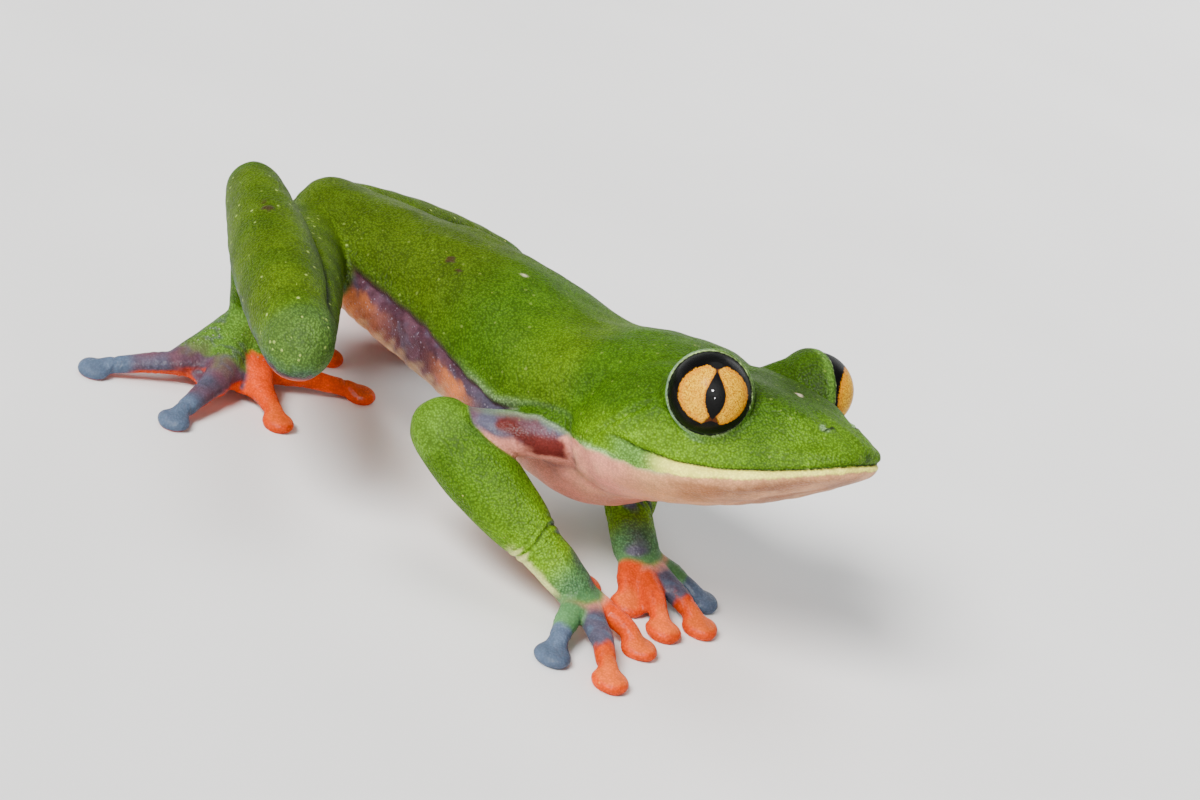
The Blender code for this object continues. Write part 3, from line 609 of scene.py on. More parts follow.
def carve_body(skin, fields):
    """The folds of the back and flanks, the creases between the limbs' muscles and the joints of the digits."""
    points, out = skin.points, skin.normals()
    x, y, z = points.T
    off_limbs = ramp(0.2, 1.2, nearest(fields))
    on_back = off_limbs * ramp(17.5, 19.5, z) * ramp(14.0, 9.0, x)
    spine = bump(y + 0.4, 1.6) * ramp(-32.0, -24.0, x)
    hips = bump(np.hypot(x + 14.0, (np.abs(y) - 3.0) * 2.2), 3.0)
    shoulders = bump(np.hypot(x - 4.0, (np.abs(y) - 5.0) * 1.4), 2.6)
    ripple = np.sin(0.75 * x + 0.35 * y + 0.8 * np.sin(0.31 * x - 0.4 * y))
    move = on_back * (0.18 * spine + 0.35 * hips + 0.12 * shoulders + 0.05 * ripple)
    # The edge of the green back hangs a little over the softer, wrinkled flank.
    below = below_border(points) + 0.10 * wander(points, 1.8)
    on_flank = off_limbs * ramp(14.0, 10.0, x)
    move += on_flank * (0.26 * bump(below + 0.55, 0.55) - 0.30 * bump(below - 0.40, 0.45))
    wrinkles = np.sin(1.5 * below + 0.9 * x + 1.1 * np.sin(0.9 * x)) * np.sin(2.3 * x + 1.2 * below)
    move += on_flank * 0.10 * wrinkles * ramp(0.3, 1.0, below) * ramp(7.5, 5.0, below)
    move += 0.035 * wander(points, 1.3, 1.0)
    for side in SIDES:
        for one, other in (("thigh", "shank"), ("upper_arm", "forearm")):
            first, second = fields[one, side], fields[other, side]
            touching = ramp(2.0, 1.0, np.maximum(first[0], second[0]))
            move -= 0.42 * bump(first[0] - second[0], 0.30) * touching * ramp(0.04, 0.16, second[1])
        bend = wrist_bend(points, side)
        crease = bump(bend + 0.3, 0.16) + 0.4 * bump(bend + 1.1, 0.2) + 0.3 * bump(bend - 0.6, 0.2)
        move -= 0.21 * crease * ramp(4.2, 3.2, distance_to(points, ARMS[side]["wrist"]))
        move += carve_digits(points, fields, side)
    for place, radius, height, _ in SPECKS:
        move += height * ramp(radius + 0.15, radius - 0.15, distance_to(points, place))
    move -= 0.06 * ramp(-0.9, -0.5, out[:, 2])   # drawn in a little, but not underneath
    skin.points = points + out * move[:, None]


def make_skin():
    """The skin over all the flesh: one closed surface, smoothed, carved and coloured."""
    whole = joined(skin_shapes())
    bmesh.ops.scale(whole, vec=(MM, MM, MM), verts=whole.verts)
    obj = put_mesh("skin", whole)
    remesh = obj.modifiers.new("one_skin", "REMESH")
    remesh.mode = "VOXEL"
    remesh.voxel_size = SKIN_VOXEL * MM
    graph = bpy.context.evaluated_depsgraph_get()
    obj.data = bpy.data.meshes.new_from_object(obj.evaluated_get(graph))
    obj.modifiers.clear()
    skin = Skin(obj)
    skin.relax(np.ones(len(skin.points)), EVEN_ROUNDS)
    # Smoother away from the hands, feet and eyes, and most where the limbs join the trunk.
    from_eyes = np.min([distance_to(skin.points, eye_middle(side)) for side in (1, -1)], axis=0)
    skin.relax(ramp(5.5, 7.0, skin.points[:, 2]) * ramp(5.0, 6.5, from_eyes), SMOOTH_ROUNDS)
    fields = limb_fields(skin.points)
    limbs = nearest(fields, "upper_arm", "thigh")
    middle_line = [(x, y, z, (w + (a + b) / 2) / 2) for x, y, z, w, a, b in TRUNK_SECTIONS]
    trunk, _ = line_distance(skin.points, middle_line)
    skin.relax(ramp(2.2, 0.2, np.abs(limbs)) * ramp(2.6, 0.8, np.abs(trunk)), JOIN_ROUNDS)
    carve_body(skin, fields)
    carve_head(skin)
    skin.points[:, 2] = np.clip(skin.points[:, 2], 0.0, None)
    skin.store()
    colour_skin(obj, skin, fields)
    obj.data.shade_smooth()
    return obj


# ---------------------------------------------------------------- the skin's colours
OLIVE, REAR_OLIVE, SHOULDER_GREEN = (0.064, 0.120, 0.001), (0.058, 0.088, 0.001), (0.090, 0.165, 0.001)
GREEN, DEEP_GREEN, FACE_GREEN = (0.046, 0.118, 0.001), (0.024, 0.058, 0.001), (0.135, 0.290, 0.003)
KNEE_TEAL, TURQUOISE, PALE_GREEN = (0.060, 0.130, 0.070), (0.080, 0.210, 0.075), (0.150, 0.330, 0.040)
FOOT_GREEN, WRIST_YELLOW, LIP = (0.085, 0.190, 0.020), (0.640, 0.660, 0.220), (1.000, 0.930, 0.160)
PURPLE, MAUVE, SLATE, DISC_BLUE = (
    (0.055, 0.022, 0.032), (0.110, 0.050, 0.070), (0.075, 0.072, 0.110), (0.080, 0.115, 0.180))
ORANGE, DEEP_ORANGE, PEACH = (0.640, 0.055, 0.001), (0.400, 0.028, 0.002), (0.540, 0.155, 0.045)
LIGHT_FINGER, LIGHT_TOE, THROAT = (0.740, 0.140, 0.020), (0.740, 0.120, 0.014), (0.660, 0.320, 0.150)
CREAM, PINK, PALE_PEACH = (0.720, 0.450, 0.230), (0.660, 0.240, 0.175), (0.780, 0.440, 0.230)
BROWN_PINK, DARK_RED, SCAB = (0.230, 0.075, 0.030), (0.105, 0.014, 0.011), (0.040, 0.020, 0.010)
LID_EDGE, BEHIND_EYE, NOSTRIL_RIM = (0.520, 0.740, 0.270), (0.340, 0.500, 0.400), (0.300, 0.470, 0.220)
# First two here are painted shade: in the mouth's slit, nostrils and between thigh and shank; and round each
# eyeball.
CREASE_SHADE, EYE_GAP_SHADE, PALE_RIM = (0.006, 0.010, 0.002), (0.004, 0.003, 0.004), (0.300, 0.480, 0.200)
PALE_SPECK, PALE_FLAKE = (0.600, 0.550, 0.350), (0.550, 0.450, 0.320)
# The border between the green face and the pink throat, in the head's frame: x, z.
THROAT_BORDER = [
    (-22.3, -4.5), (-17.3, -4.7), (-15.2, -5.5), (-12.3, -6.3), (-9.8, -6.6), (-5.5, -7.4), (-0.5, -7.45),
    (3.7, -7.1), (7.0, -6.5), (11.7, -5.45),
]
# Where the left nostril's colours lie once the snout is carved: its pale rim, and the x and z of its hole.
NOSTRIL_RIM_AT, NOSTRIL_HOLE_AT = (8.3, 2.75, -2.0), (8.45, -2.1)
# The dark red patch on the upper arm, from the shoulder: x, y of the frog, z from the shoulder, radius.
RED_PATCH = [(-4.2, 13.6, 0.1, 0.8), (-1.9, 12.4, -0.3, 1.3), (0.1, 11.4, -0.8, 1.2), (1.6, 10.8, -1.6, 0.6)]
# Each finger's colour along its shaft and on its disc, innermost first.
FINGER_COLOURS = [(ORANGE, ORANGE), (ORANGE, ORANGE), (SLATE, ORANGE), (TURQUOISE, DISC_BLUE)]
# Small scabs and specks: place, radius, how much they stand out, whether pale.
SPECKS = [
    ((-23.3, -18.4, 23.2), 0.55, 0.12, False), ((-24.6, -17.6, 23.0), 0.30, 0.08, False),
    ((-11.6, -4.8, 22.0), 0.45, 0.10, False), ((-9.9, -5.4, 21.8), 0.28, 0.07, False),
    ((-5.0, -2.0, 23.6), 0.32, 0.08, True), ((-3.5, -3.6, 23.4), 0.20, 0.06, True),
]
# Flat ones on the head, in its frame: place, colour, how strong, and the radii where they start and are full.
HEAD_SPECKS = [((3.6, 0.3, 0.2), PALE_FLAKE, 1.0, 0.42, 0.28), ((-4.6, -9.2, 2.2), SCAB, 0.8, 0.50, 0.30)]


class Paint:
    """A colour at each point of the skin, laid on in layers."""

    def __init__(self, points, colour):
        self.points = points
        self.colour = np.tile(rows_of(colour), (len(points), 1))

    def wave(self, scale, seed=0.0):
        return wander(self.points, scale, seed)

    def layer(self, colour, where):
        where = np.clip(where, 0.0, 1.0)[:, None]
        self.colour += (rows_of(colour) - self.colour) * where


def wander(points, scale, seed=0.0):
    """Slow smooth waves between -1 and 1, to keep the borders of the colours uneven."""
    x, y, z = (points * scale).T
    first = np.sin(x * 1.3 + 1.7 * np.sin(y * 0.9 + seed) + 0.6 * z)
    second = np.sin(y * 1.7 + 1.3 * np.sin(z * 1.1 - seed) - 0.8 * x)
    return 0.5 * (first + second)


def streaks(points, seed):
    """Fine branching streaks, 1 in their middle and 0 between them."""
    crossing = wander(points, 0.9, seed) + 0.5 * wander(points, 2.3, seed + 1.0) + 0.2 * wander(points, 5.0, seed)
    return bump(crossing, 0.16)


def below_border(points):
    """How far each point of the trunk lies below the border of its green back, square to the trunk's own roll."""
    x, y, z = points.T
    roll, middle = math.radians(BODY_ROLL), on_line([section[:3:2] for section in TRUNK_SECTIONS], x)
    return on_line(FLANK_BORDER, x) - ((z - middle) * math.cos(roll) + y * math.sin(roll))


def above_throat(head):
    return head[:, 2] - on_line(THROAT_BORDER, head[:, 0])


def paint_trunk(paint, points, facing):
    """The green back, darkened by painted shade just above its border at the rear, the purple and grey-blue flank
    with its peach patches, the pink chest and cream belly.
    """
    lay, wave, x = paint.layer, paint.wave, points[:, 0]
    below = below_border(points) + 0.10 * wave(1.8) + 0.06 * wave(4.1, 2.0)
    front, rear, flank = ramp(-5.0, 1.0, x), ramp(-2.0, -12.0, x), ramp(0.1, 0.5, below)
    lay(REAR_OLIVE, rear * 0.65)
    lay(SHOULDER_GREEN, 0.55 * bump(x - 7.0, 6.0))
    # Painted shade: the green darkens over the two millimetres above the flank's border, towards the rear.
    lay(DEEP_GREEN, 0.6 * ramp(-2.2, -0.2, below) * rear)
    lay(PALE_RIM, 0.7 * bump(below + 0.35, 0.45) * front)
    lay(PURPLE, 0.7 * ramp(-0.9, 0.2, below) * ramp(5.0, 0.0, x))
    lay(PURPLE, ramp(-0.15, 0.25, below))
    lay(MAUVE, flank * 0.7 * ramp(-0.3, 0.9, wave(1.1, 3.0) + 0.6 * wave(3.7, 1.0)))
    lay(SLATE, flank * 0.6 * ramp(0.0, 0.9, wave(0.7, 6.0) + 0.5 * wave(2.9, 5.0)))
    lay(SLATE, flank * 0.8 * front)
    ragged = below + 0.22 * wave(1.5, 2.0) + 0.24 * wave(4.1, 4.0)
    groin = bump(x + 21.5, 5.0) * ramp(1.0, 2.1, ragged)
    elbow = bump(x + 4.2, 2.4) * ramp(1.0, 1.8, ragged)
    lay(PEACH, np.maximum(groin, elbow))
    lay(PINK, ramp(1.0, 3.5, x) * ramp(1.4, 2.2, ragged))
    lay(PINK, ramp(10.5, 12.5, x) * ramp(0.2, 0.8, ragged))
    belly = ramp(-0.40, -0.95, facing[:, 2]) * ramp(1.5, 3.0, below)
    lay(CREAM, 0.8 * belly * ramp(9.0, 2.0, x))
    return below


def paint_lids(lay, points, x, side):
    """The lids' pale collar and edge, the paler skin behind the eye, and painted shade in the gap round the
    eyeball.
    """
    away = points - rows_of(eye_middle(side))
    reach, height = np.linalg.norm(away, axis=1), away @ rows_of(eye_axis(side))
    past_brim, on_lids = height - LID_BRIM, reach < EYE_RADIUS + 0.8
    lay(PALE_GREEN, 0.55 * bump(past_brim + 0.75, 0.45) * on_lids * (height > -1.5))
    lay(BEHIND_EYE, 0.55 * ramp(0.5, -2.5, x) * bump(past_brim + 0.45, 0.32) * on_lids)
    lay(LID_EDGE, ramp(-0.30, -0.14, past_brim) * (reach < EYE_RADIUS + 0.6))
    # Painted shade: near-black on the lids where they meet the eyeball.
    lay(EYE_GAP_SHADE, ramp(EYE_RADIUS + 0.11, EYE_RADIUS + 0.05, reach) * (height > 0))


def paint_head(paint, points, head):
    """The green face, the mottled throat with painted shade under the jaw and painted highlights, the lips with
    painted shade in the mouth's slit, the nostrils with painted shade in their holes, eardrums, lids with painted
    shade round the eyeballs, and specks.
    """
    lay, wave, (x, y, z) = paint.layer, paint.wave, head.T
    on_head = ramp(-16.5, -13.5, x)
    above = above_throat(head) + 0.08 * wave(1.8) + 0.04 * wave(4.7)
    face, under = on_head * ramp(-0.06, 0.06, above), on_head * ramp(0.06, -0.06, above)
    lay(GREEN, face)
    lay(DEEP_GREEN, face * 0.80 * ramp(-1.2, 0.6, z) * ramp(-6.0, 0.0, x))
    cheek = ramp(-1.8, -4.6, z) * (0.15 + 0.85 * ramp(5.5, 0.0, x)) * ramp(-15.0, -10.0, x)
    lay(FACE_GREEN, face * 0.85 * cheek)
    lay(FACE_GREEN, face * 0.4 * ramp(3.5, 7.5, x) * ramp(-0.6, -2.2, z))
    lay(THROAT, under)
    lay(PINK, under * ramp(-4.0, -11.0, x + 0.8 * wave(0.9)))
    mottle = wander(points * (0.6, 1.0, 1.0), 0.75, 1.0)
    mottle = ramp(-0.6, 1.0, mottle + 0.35 * wave(1.9, 2.0) + 0.25 * wave(4.3, 4.0))
    # Pale mottling on the throat: partly its own colour, partly painted highlights on its moist skin.
    lay(PALE_PEACH, under * 0.4 * ramp(-0.2, -1.4, above) * mottle)
    # Browner under the front of the jaw: partly the throat's own mottling, partly painted shade deepening down the
    # throat.
    lay(BROWN_PINK, under * 0.75 * ramp(-6.0, 3.0, x) * ramp(-0.10, -0.8, above) * (1 - 0.6 * mottle))
    lay(BROWN_PINK, under * 0.2 * streaks(points * (1.0, 0.6, 1.4), 3.0) * ramp(-8.0, -3.0, x))
    lay(PALE_RIM, on_head * 0.75 * bump(above - 0.1, 0.30) * ramp(-1.0, -4.0, x) * ramp(-14.0, -11.0, x))
    past_mouth = z - on_line(MOUTH_LINE, x)
    lip = face * ramp(0.0, -0.12, past_mouth) * ramp(-9.5, -7.0, x)
    lay(PALE_GREEN, lip)
    lay(TURQUOISE, lip * 0.2 * ramp(-2.0, -5.0, x))
    lay(LIP, lip * ramp(-5.6, -1.4, x))
    # Painted shade: near-black along the mouth's slit.
    lay(CREASE_SHADE, face * 0.95 * bump(past_mouth, 0.10) * ramp(-8.8, -7.4, x))
    hole = np.hypot((x - NOSTRIL_HOLE_AT[0]) * 1.4, z - NOSTRIL_HOLE_AT[1])
    ear = np.hypot(x - EAR_AT[0], z - EAR_AT[1]) + 0.3 * wave(2.5)
    for side in SIDES.values():
        own = side * y > 0
        nostril = distance_to(head * (1, side, 1), NOSTRIL_RIM_AT)
        lay(NOSTRIL_RIM, own * 0.8 * ramp(0.66, 0.30, nostril))
        # Painted shade in each nostril's hole.
        lay(CREASE_SHADE, own * ramp(0.30, 0.14, hole) * (nostril < 1.2))
        lay(GREEN, own * face * 0.35 * ramp(1.4, 1.0, ear))
        paint_lids(lay, points, x, side)
    for place, colour, amount, start, full in HEAD_SPECKS:
        lay(colour, amount * ramp(start, full, distance_to(head, place) + 0.12 * wave(6.0)))
    lay(DEEP_GREEN, 0.8 * ramp(0.7, 0.3, distance_to(head, (11.5, 0.0, -4.4))))


def near(field, reach=0.6):
    """How much of the skin there belongs to a limb, from 0 to 1."""
    return ramp(reach, 0.1, field[0])


def nearer(field, other, soft=0.25):
    """1 where the skin lies nearer to one limb than to the other."""
    return ramp(-soft, soft, other[0] - field[0])


def paint_arm(paint, fields, side, points, facing):
    """The blue and pink upper arm with its red patch, the green forearm, painted shade in the wrist's folds, and
    the fingers.
    """
    lay, wave, sign = paint.layer, paint.wave, SIDES[side]
    upper, fore, hand = (fields[kind, side] for kind in ("upper_arm", "forearm", "hand"))
    shoulder, elbow = (rows_of(ARMS[side][joint]) for joint in ("shoulder", "elbow"))
    # The markings are laid out for the right arm, and follow the left one's own slope.
    lean = (elbow - shoulder) * (1, sign, 1) - (0, 7.2, -3.0)
    level = (points - (shoulder[0], 0.0, shoulder[2])) * (1, sign, 1) - np.outer(upper[1], lean * (0, 1, 1))
    along, height = level[:, 0], level[:, 2] + 0.25 * wave(1.7, 1.0)
    own = near(upper, 0.8)
    lay(SLATE, own)
    lay(MAUVE, own * 0.8 * ramp(-0.2, 0.7, wave(1.1, 2.0)))
    lay(PINK, own * ramp(-0.8, -1.4, height - 2.2 * ramp(-1.5, 1.0, along)) * ramp(-6.5, -4.5, along))
    ragged = 0.25 * wave(2.1, 3.0) + 0.20 * wave(4.4, 1.0)
    patch = near(upper, 2.6) * ramp(0.45, -0.35, line_distance(level, RED_PATCH)[0] + ragged)
    lay(DARK_RED, patch)
    lay(MAUVE, patch * 0.9 * ramp(-0.4, 0.5, height + 0.5 * bump(along + 1.8, 1.0) - 0.3))
    neck = in_head(points)
    above = above_throat(neck) + 0.08 * wave(1.8)
    own = near(upper, 1.2) * ramp(-24.0, -21.0, neck[:, 0])
    lay(PALE_RIM, own * 0.5 * bump(above - 0.2, 0.35))
    lay(GREEN, own * ramp(0.1, 0.35, above))
    own = near(fore, 0.9)
    green = own * nearer(fore, upper, 0.12)
    inner = facing @ rows_of((0.73, -0.62 * sign, 0.20))
    lay(GREEN, green)
    lay(SLATE, green * ramp(0.72, 0.88, inner) * ramp(0.02, 0.2, fore[1]))
    lay(KNEE_TEAL, green * 0.3 * bump(fore[0] - upper[0] + 0.5, 0.4) * ramp(0.6, 0.1, fore[1]))
    lay(FACE_GREEN, green * (0.22 + 0.35 * ramp(0.22, 0.0, fore[1])))
    lay(FACE_GREEN, own * ramp(0.35, 1.05, fore[1]) * 0.85)
    own = near(hand, 1.0)
    lay(FACE_GREEN, own * (0.85 + 0.15 * ramp(0.0, 0.5, hand[1])))
    lay(TURQUOISE, own * ramp(0.3, 0.9, hand[1]))
    rear = facing @ rows_of((-0.62, 0.50 * sign, -0.60))
    lay(WRIST_YELLOW, own * ramp(0.25, 0.70, rear + 0.12 * wave(2.0)) * ramp(1.0, 0.7, hand[1]))
    lay(SLATE, own * ramp(0.70, 0.88, inner))
    bend = wrist_bend(points, side)
    # Painted shade: dark green laid into the wrist's folds on their upper side.
    fold_shade = bump(bend + 0.3, 0.13) + 0.5 * bump(bend + 1.1, 0.09) + 0.4 * bump(bend - 0.6, 0.09)
    lay(DEEP_GREEN, 0.9 * fold_shade * near(hand, 1.4) * ramp(-0.3, 0.3, facing[:, 2]))
    for number, (shaft, disc) in enumerate(FINGER_COLOURS, 1):
        digit = fields["hand", side, number]
        own = near(digit, 0.7)
        lay(shaft, own * ramp(0.05, 0.25, digit[1]))
        if number == 3:
            lay(DISC_BLUE, own * 0.6 * ramp(0.2, 0.8, wave(2.2, 1.0)) * ramp(0.05, 0.25, digit[1]))
        lay(disc, own * ramp(0.60, 0.68, digit[1] + 0.03 * wave(2.4, 3.0)))
        if disc is ORANGE:
            lay(LIGHT_FINGER, own * 0.7 * ramp(0.62, 0.92, digit[1]) * ramp(0.55, 0.9, facing[:, 2]))
            lay(DEEP_ORANGE, own * 0.7 * streaks(points, 2.0) * bump(digit[1] - 0.62, 0.10))


def paint_leg(paint, fields, side, points, facing):
    """The olive thigh and shank with painted shade where they touch, purple underneath, the orange and mauve foot
    and the toes.
    """
    lay, wave = paint.layer, paint.wave
    thigh, shank, tarsus, foot = (fields[kind, side] for kind in ("thigh", "shank", "tarsus", "foot"))
    under = facing[:, 2] + 0.12 * wave(1.4) + 0.06 * wave(3.6)
    for field in (thigh, shank):
        own = near(field, 0.9)
        lay(OLIVE, own)
        lay(DEEP_GREEN, own * 0.45 * ramp(-0.4, 0.9, wave(0.6, 3.0)))
        lay(KNEE_TEAL, own * 0.8 * ramp(-0.15, -0.45, under))
        lay(PURPLE, own * ramp(-0.45, -0.60, under))
        lay(DEEP_ORANGE, own * ramp(-0.66, -0.82, under))
    knee = ramp(0.14, 0.0, shank[1]) * near(shank, 0.9) * ramp(-0.5, -0.3, under)
    lay(KNEE_TEAL, knee * 0.85 * nearer(thigh, shank, 0.6))
    lay(FACE_GREEN, knee * 0.35 * nearer(shank, thigh, 0.6))
    # Painted shade: near-black in the gap where the thigh and shank touch.
    crease = bump(thigh[0] - shank[0], 0.22) * ramp(2.0, 1.0, np.maximum(thigh[0], shank[0]))
    lay(CREASE_SHADE, 0.9 * crease * ramp(0.04, 0.14, shank[1]) * ramp(0.9, 0.6, shank[1]))
    lay(GREEN, near(tarsus))
    toes = {number: fields["foot", side, number] for number in range(1, 6)}
    inner, outer = (np.min([toes[n][0] for n in numbers], axis=0) for numbers in ((1, 2, 3), (4, 5)))
    reach = np.minimum(foot[0], np.minimum(inner, outer))
    own = ramp(3.6, 2.6, reach) * ramp(-0.2, 0.2, np.minimum(thigh[0], shank[0]) - reach) * (points[:, 2] < 7.5)
    outside = ramp(-0.5, 0.5, inner - outer + 0.35 * wave(1.3, 2.0))
    lay(ORANGE, own)
    lay(DEEP_ORANGE, own * 0.4 * ramp(0.0, 0.9, wave(1.3, 4.0)))
    bluish = own * outside * ramp(-0.05, 0.35, facing[:, 2])
    lay(MAUVE, bluish)
    lay(SLATE, bluish * 0.75 * ramp(-0.4, 0.7, wave(0.9, 1.0)))
    lofty = points[:, 2] + 0.35 * wave(1.1, 5.0) + 0.25 * wave(3.1, 2.0)
    lay(FOOT_GREEN, own * np.maximum(outside * ramp(3.0, 3.9, lofty), ramp(3.9, 4.7, lofty)))
    for number, amount in ((4, 0.85), (5, 0.45)):
        distance, along = toes[number]
        beside = ramp(1.5, 0.5, distance + 0.3 * wave(1.7, 4.0))
        lay(MAUVE, bluish * amount * ramp(-0.02, 0.10, along) * beside)
    lay(SLATE, bluish * 0.5 * streaks(points * 0.7, 1.0))
    for number, toe in toes.items():
        own = near(toe, 0.8)
        if number > 3:
            shaft = own * ramp(-0.50, -0.15, facing[:, 2]) * ramp(0.15, 0.4, toe[1])
            lay(MAUVE, shaft)
            lay(SLATE, shaft * ramp(-0.6, 0.6, wave(0.9, 1.0)))
            lay(DISC_BLUE, own * ramp(0.66, 0.78, toe[1]) * ramp(-0.85, -0.6, facing[:, 2]))
        else:
            lay(ORANGE, own * ramp(0.2, 0.5, toe[1]))
            lay(LIGHT_TOE, own * 0.7 * ramp(0.62, 0.9, toe[1]) * ramp(0.5, 0.9, facing[:, 2]))
            lay(DEEP_ORANGE, own * 0.6 * streaks(points, 2.0) * ramp(0.7, 0.5, toe[1]))


def colour_skin(obj, skin, fields):
    """Writes the skin's tint, and how strongly each kind of grain shows there, onto its points."""
    points, facing = skin.points, skin.normals()
    paint = Paint(points, GREEN)
    below = paint_trunk(paint, points, facing)
    paint_head(paint, points, in_head(points))
    for side in SIDES:
        paint_arm(paint, fields, side, points, facing)
        paint_leg(paint, fields, side, points, facing)
    for place, radius, _, pale in SPECKS:
        away = distance_to(points, place) + 0.15 * paint.wave(6.0)
        paint.layer(PALE_SPECK if pale else SCAB, 0.9 * ramp(radius + 0.15, radius - 0.10, away))
    tint = obj.data.attributes.new("tint", "FLOAT_COLOR", "POINT")
    rgba = np.ones((len(points), 4), np.float32)
    rgba[:, :3] = np.clip(paint.colour, 0.0, 1.0)
    tint.data.foreach_set("color", rgba.ravel())
    red, green, blue = paint.colour.T
    leafy = ramp(1.15, 1.6, green / np.maximum(np.maximum(red, blue), 1e-3))
    legs = ramp(0.9, 0.1, nearest(fields, "thigh", "shank"))
    arms = ramp(0.9, 0.1, nearest(fields, "forearm", "hand"))
    digits = np.min([field[0] for name, field in fields.items() if len(name) == 3], axis=0)
    flank = ramp(0.1, 0.6, below) * ramp(5.0, 1.0, points[:, 0]) * ramp(0.4, 1.2, nearest(fields))
    for name, values in {
        "warts": leafy * (0.30 + 0.70 * legs - 0.2 * arms),
        "stipple": leafy * (0.20 + 0.35 * arms),
        "rough": 0.40 + 0.60 * leafy * ramp(0.0, 0.8, digits),
        "granules": flank,
    }.items():
        made = obj.data.attributes.new(name, "FLOAT", "POINT")
        made.data.foreach_set("value", np.clip(values, 0.0, 1.0).astype(np.float32))


# ---------------------------------------------------------------- materials
class Nodes:
    """Short ways to build the nodes of a material or world."""

    def __init__(self, owner):
        owner.use_nodes = True
        self.owner, self.tree = owner, owner.node_tree

    def plug(self, socket, value):
        if isinstance(value, bpy.types.NodeSocket):
            self.tree.links.new(value, socket)
        else:
            socket.default_value = value

    def fill(self, node, inputs):
        for name, value in inputs.items():
            self.plug(node.inputs[name.replace("_", " ")], value)
        return node

    def add(self, kind, settings=(), **inputs):
        node = self.tree.nodes.new(kind)
        for name, value in dict(settings).items():
            setattr(node, name, value)
        return self.fill(node, inputs)

    def finish(self, shader="Principled BSDF", **inputs):
        """Sets the inputs of the shader, and returns the material or world."""
        self.fill(self.tree.nodes[shader], inputs)
        return self.owner

    def math(self, operation, *values):
        node = self.add("ShaderNodeMath", {"operation": operation})
        for socket, value in zip(node.inputs, values):
            self.plug(socket, value)
        return node.outputs[0]

    def plus(self, *values):
        return functools.reduce(lambda a, b: self.math("ADD", a, b), values)

    def times(self, *values):
        return functools.reduce(lambda a, b: self.math("MULTIPLY", a, b), values)

    def minus(self, a, b):
        return self.math("SUBTRACT", a, b)

    def step(self, value, low, high, out_low=0.0, out_high=1.0):
        """A smooth step from one value to another. low may be above high."""
        node = self.add("ShaderNodeMapRange", {"interpolation_type": "SMOOTHSTEP"})
        for socket, given in zip(node.inputs, (value, low, high, out_low, out_high)):
            self.plug(socket, given)
        return node.outputs[0]

    def mix(self, factor, a, b, blend="MIX"):
        node = self.add("ShaderNodeMix", {"data_type": "RGBA", "blend_type": blend})
        for socket, value in ((node.inputs[0], factor), (node.inputs[6], a), (node.inputs[7], b)):
            self.plug(socket, (*value, 1.0) if isinstance(value, tuple) else value)
        return node.outputs[2]

    def grey(self, value):
        return self.add("ShaderNodeCombineColor", Red=value, Green=value, Blue=value).outputs[0]

    def relief(self, height, distance, strength):
        return self.add("ShaderNodeBump", Height=height, Distance=distance, Strength=strength).outputs[0]

    def attribute(self, name, output="Fac"):
        return self.add("ShaderNodeAttribute", {"attribute_name": name}).outputs[output]

    def place(self, per_mm):
        """Object coordinates with this many units to a millimetre."""
        where = self.add("ShaderNodeTexCoord").outputs["Object"]
        return self.add("ShaderNodeMapping", Vector=where, Scale=(per_mm / MM,) * 3).outputs[0]

    def noise(self, per_mm, detail=3.0, roughness=0.5):
        settings = {"Vector": self.place(per_mm), "Scale": 1.0, "Detail": detail, "Roughness": roughness}
        return self.add("ShaderNodeTexNoise", **settings).outputs[0]

    def cells(self, per_mm):
        return self.add("ShaderNodeTexVoronoi", Vector=self.place(per_mm), Scale=1.0).outputs

    def dots(self, per_mm, small, large, share, attribute):
        """Round dots, one in each cell for this share of the cells, as strong as the attribute says."""
        cells = self.cells(per_mm)
        chance = self.add("ShaderNodeSeparateColor", Color=cells["Color"]).outputs
        size = self.step(chance[1], 0.0, 1.0, small, large)
        inside = self.step(self.minus(cells["Distance"], size), 0.0, -0.07)
        chosen = self.step(chance[0], 1 - share, 1.02 - share)
        return self.times(inside, chosen, self.attribute(attribute))


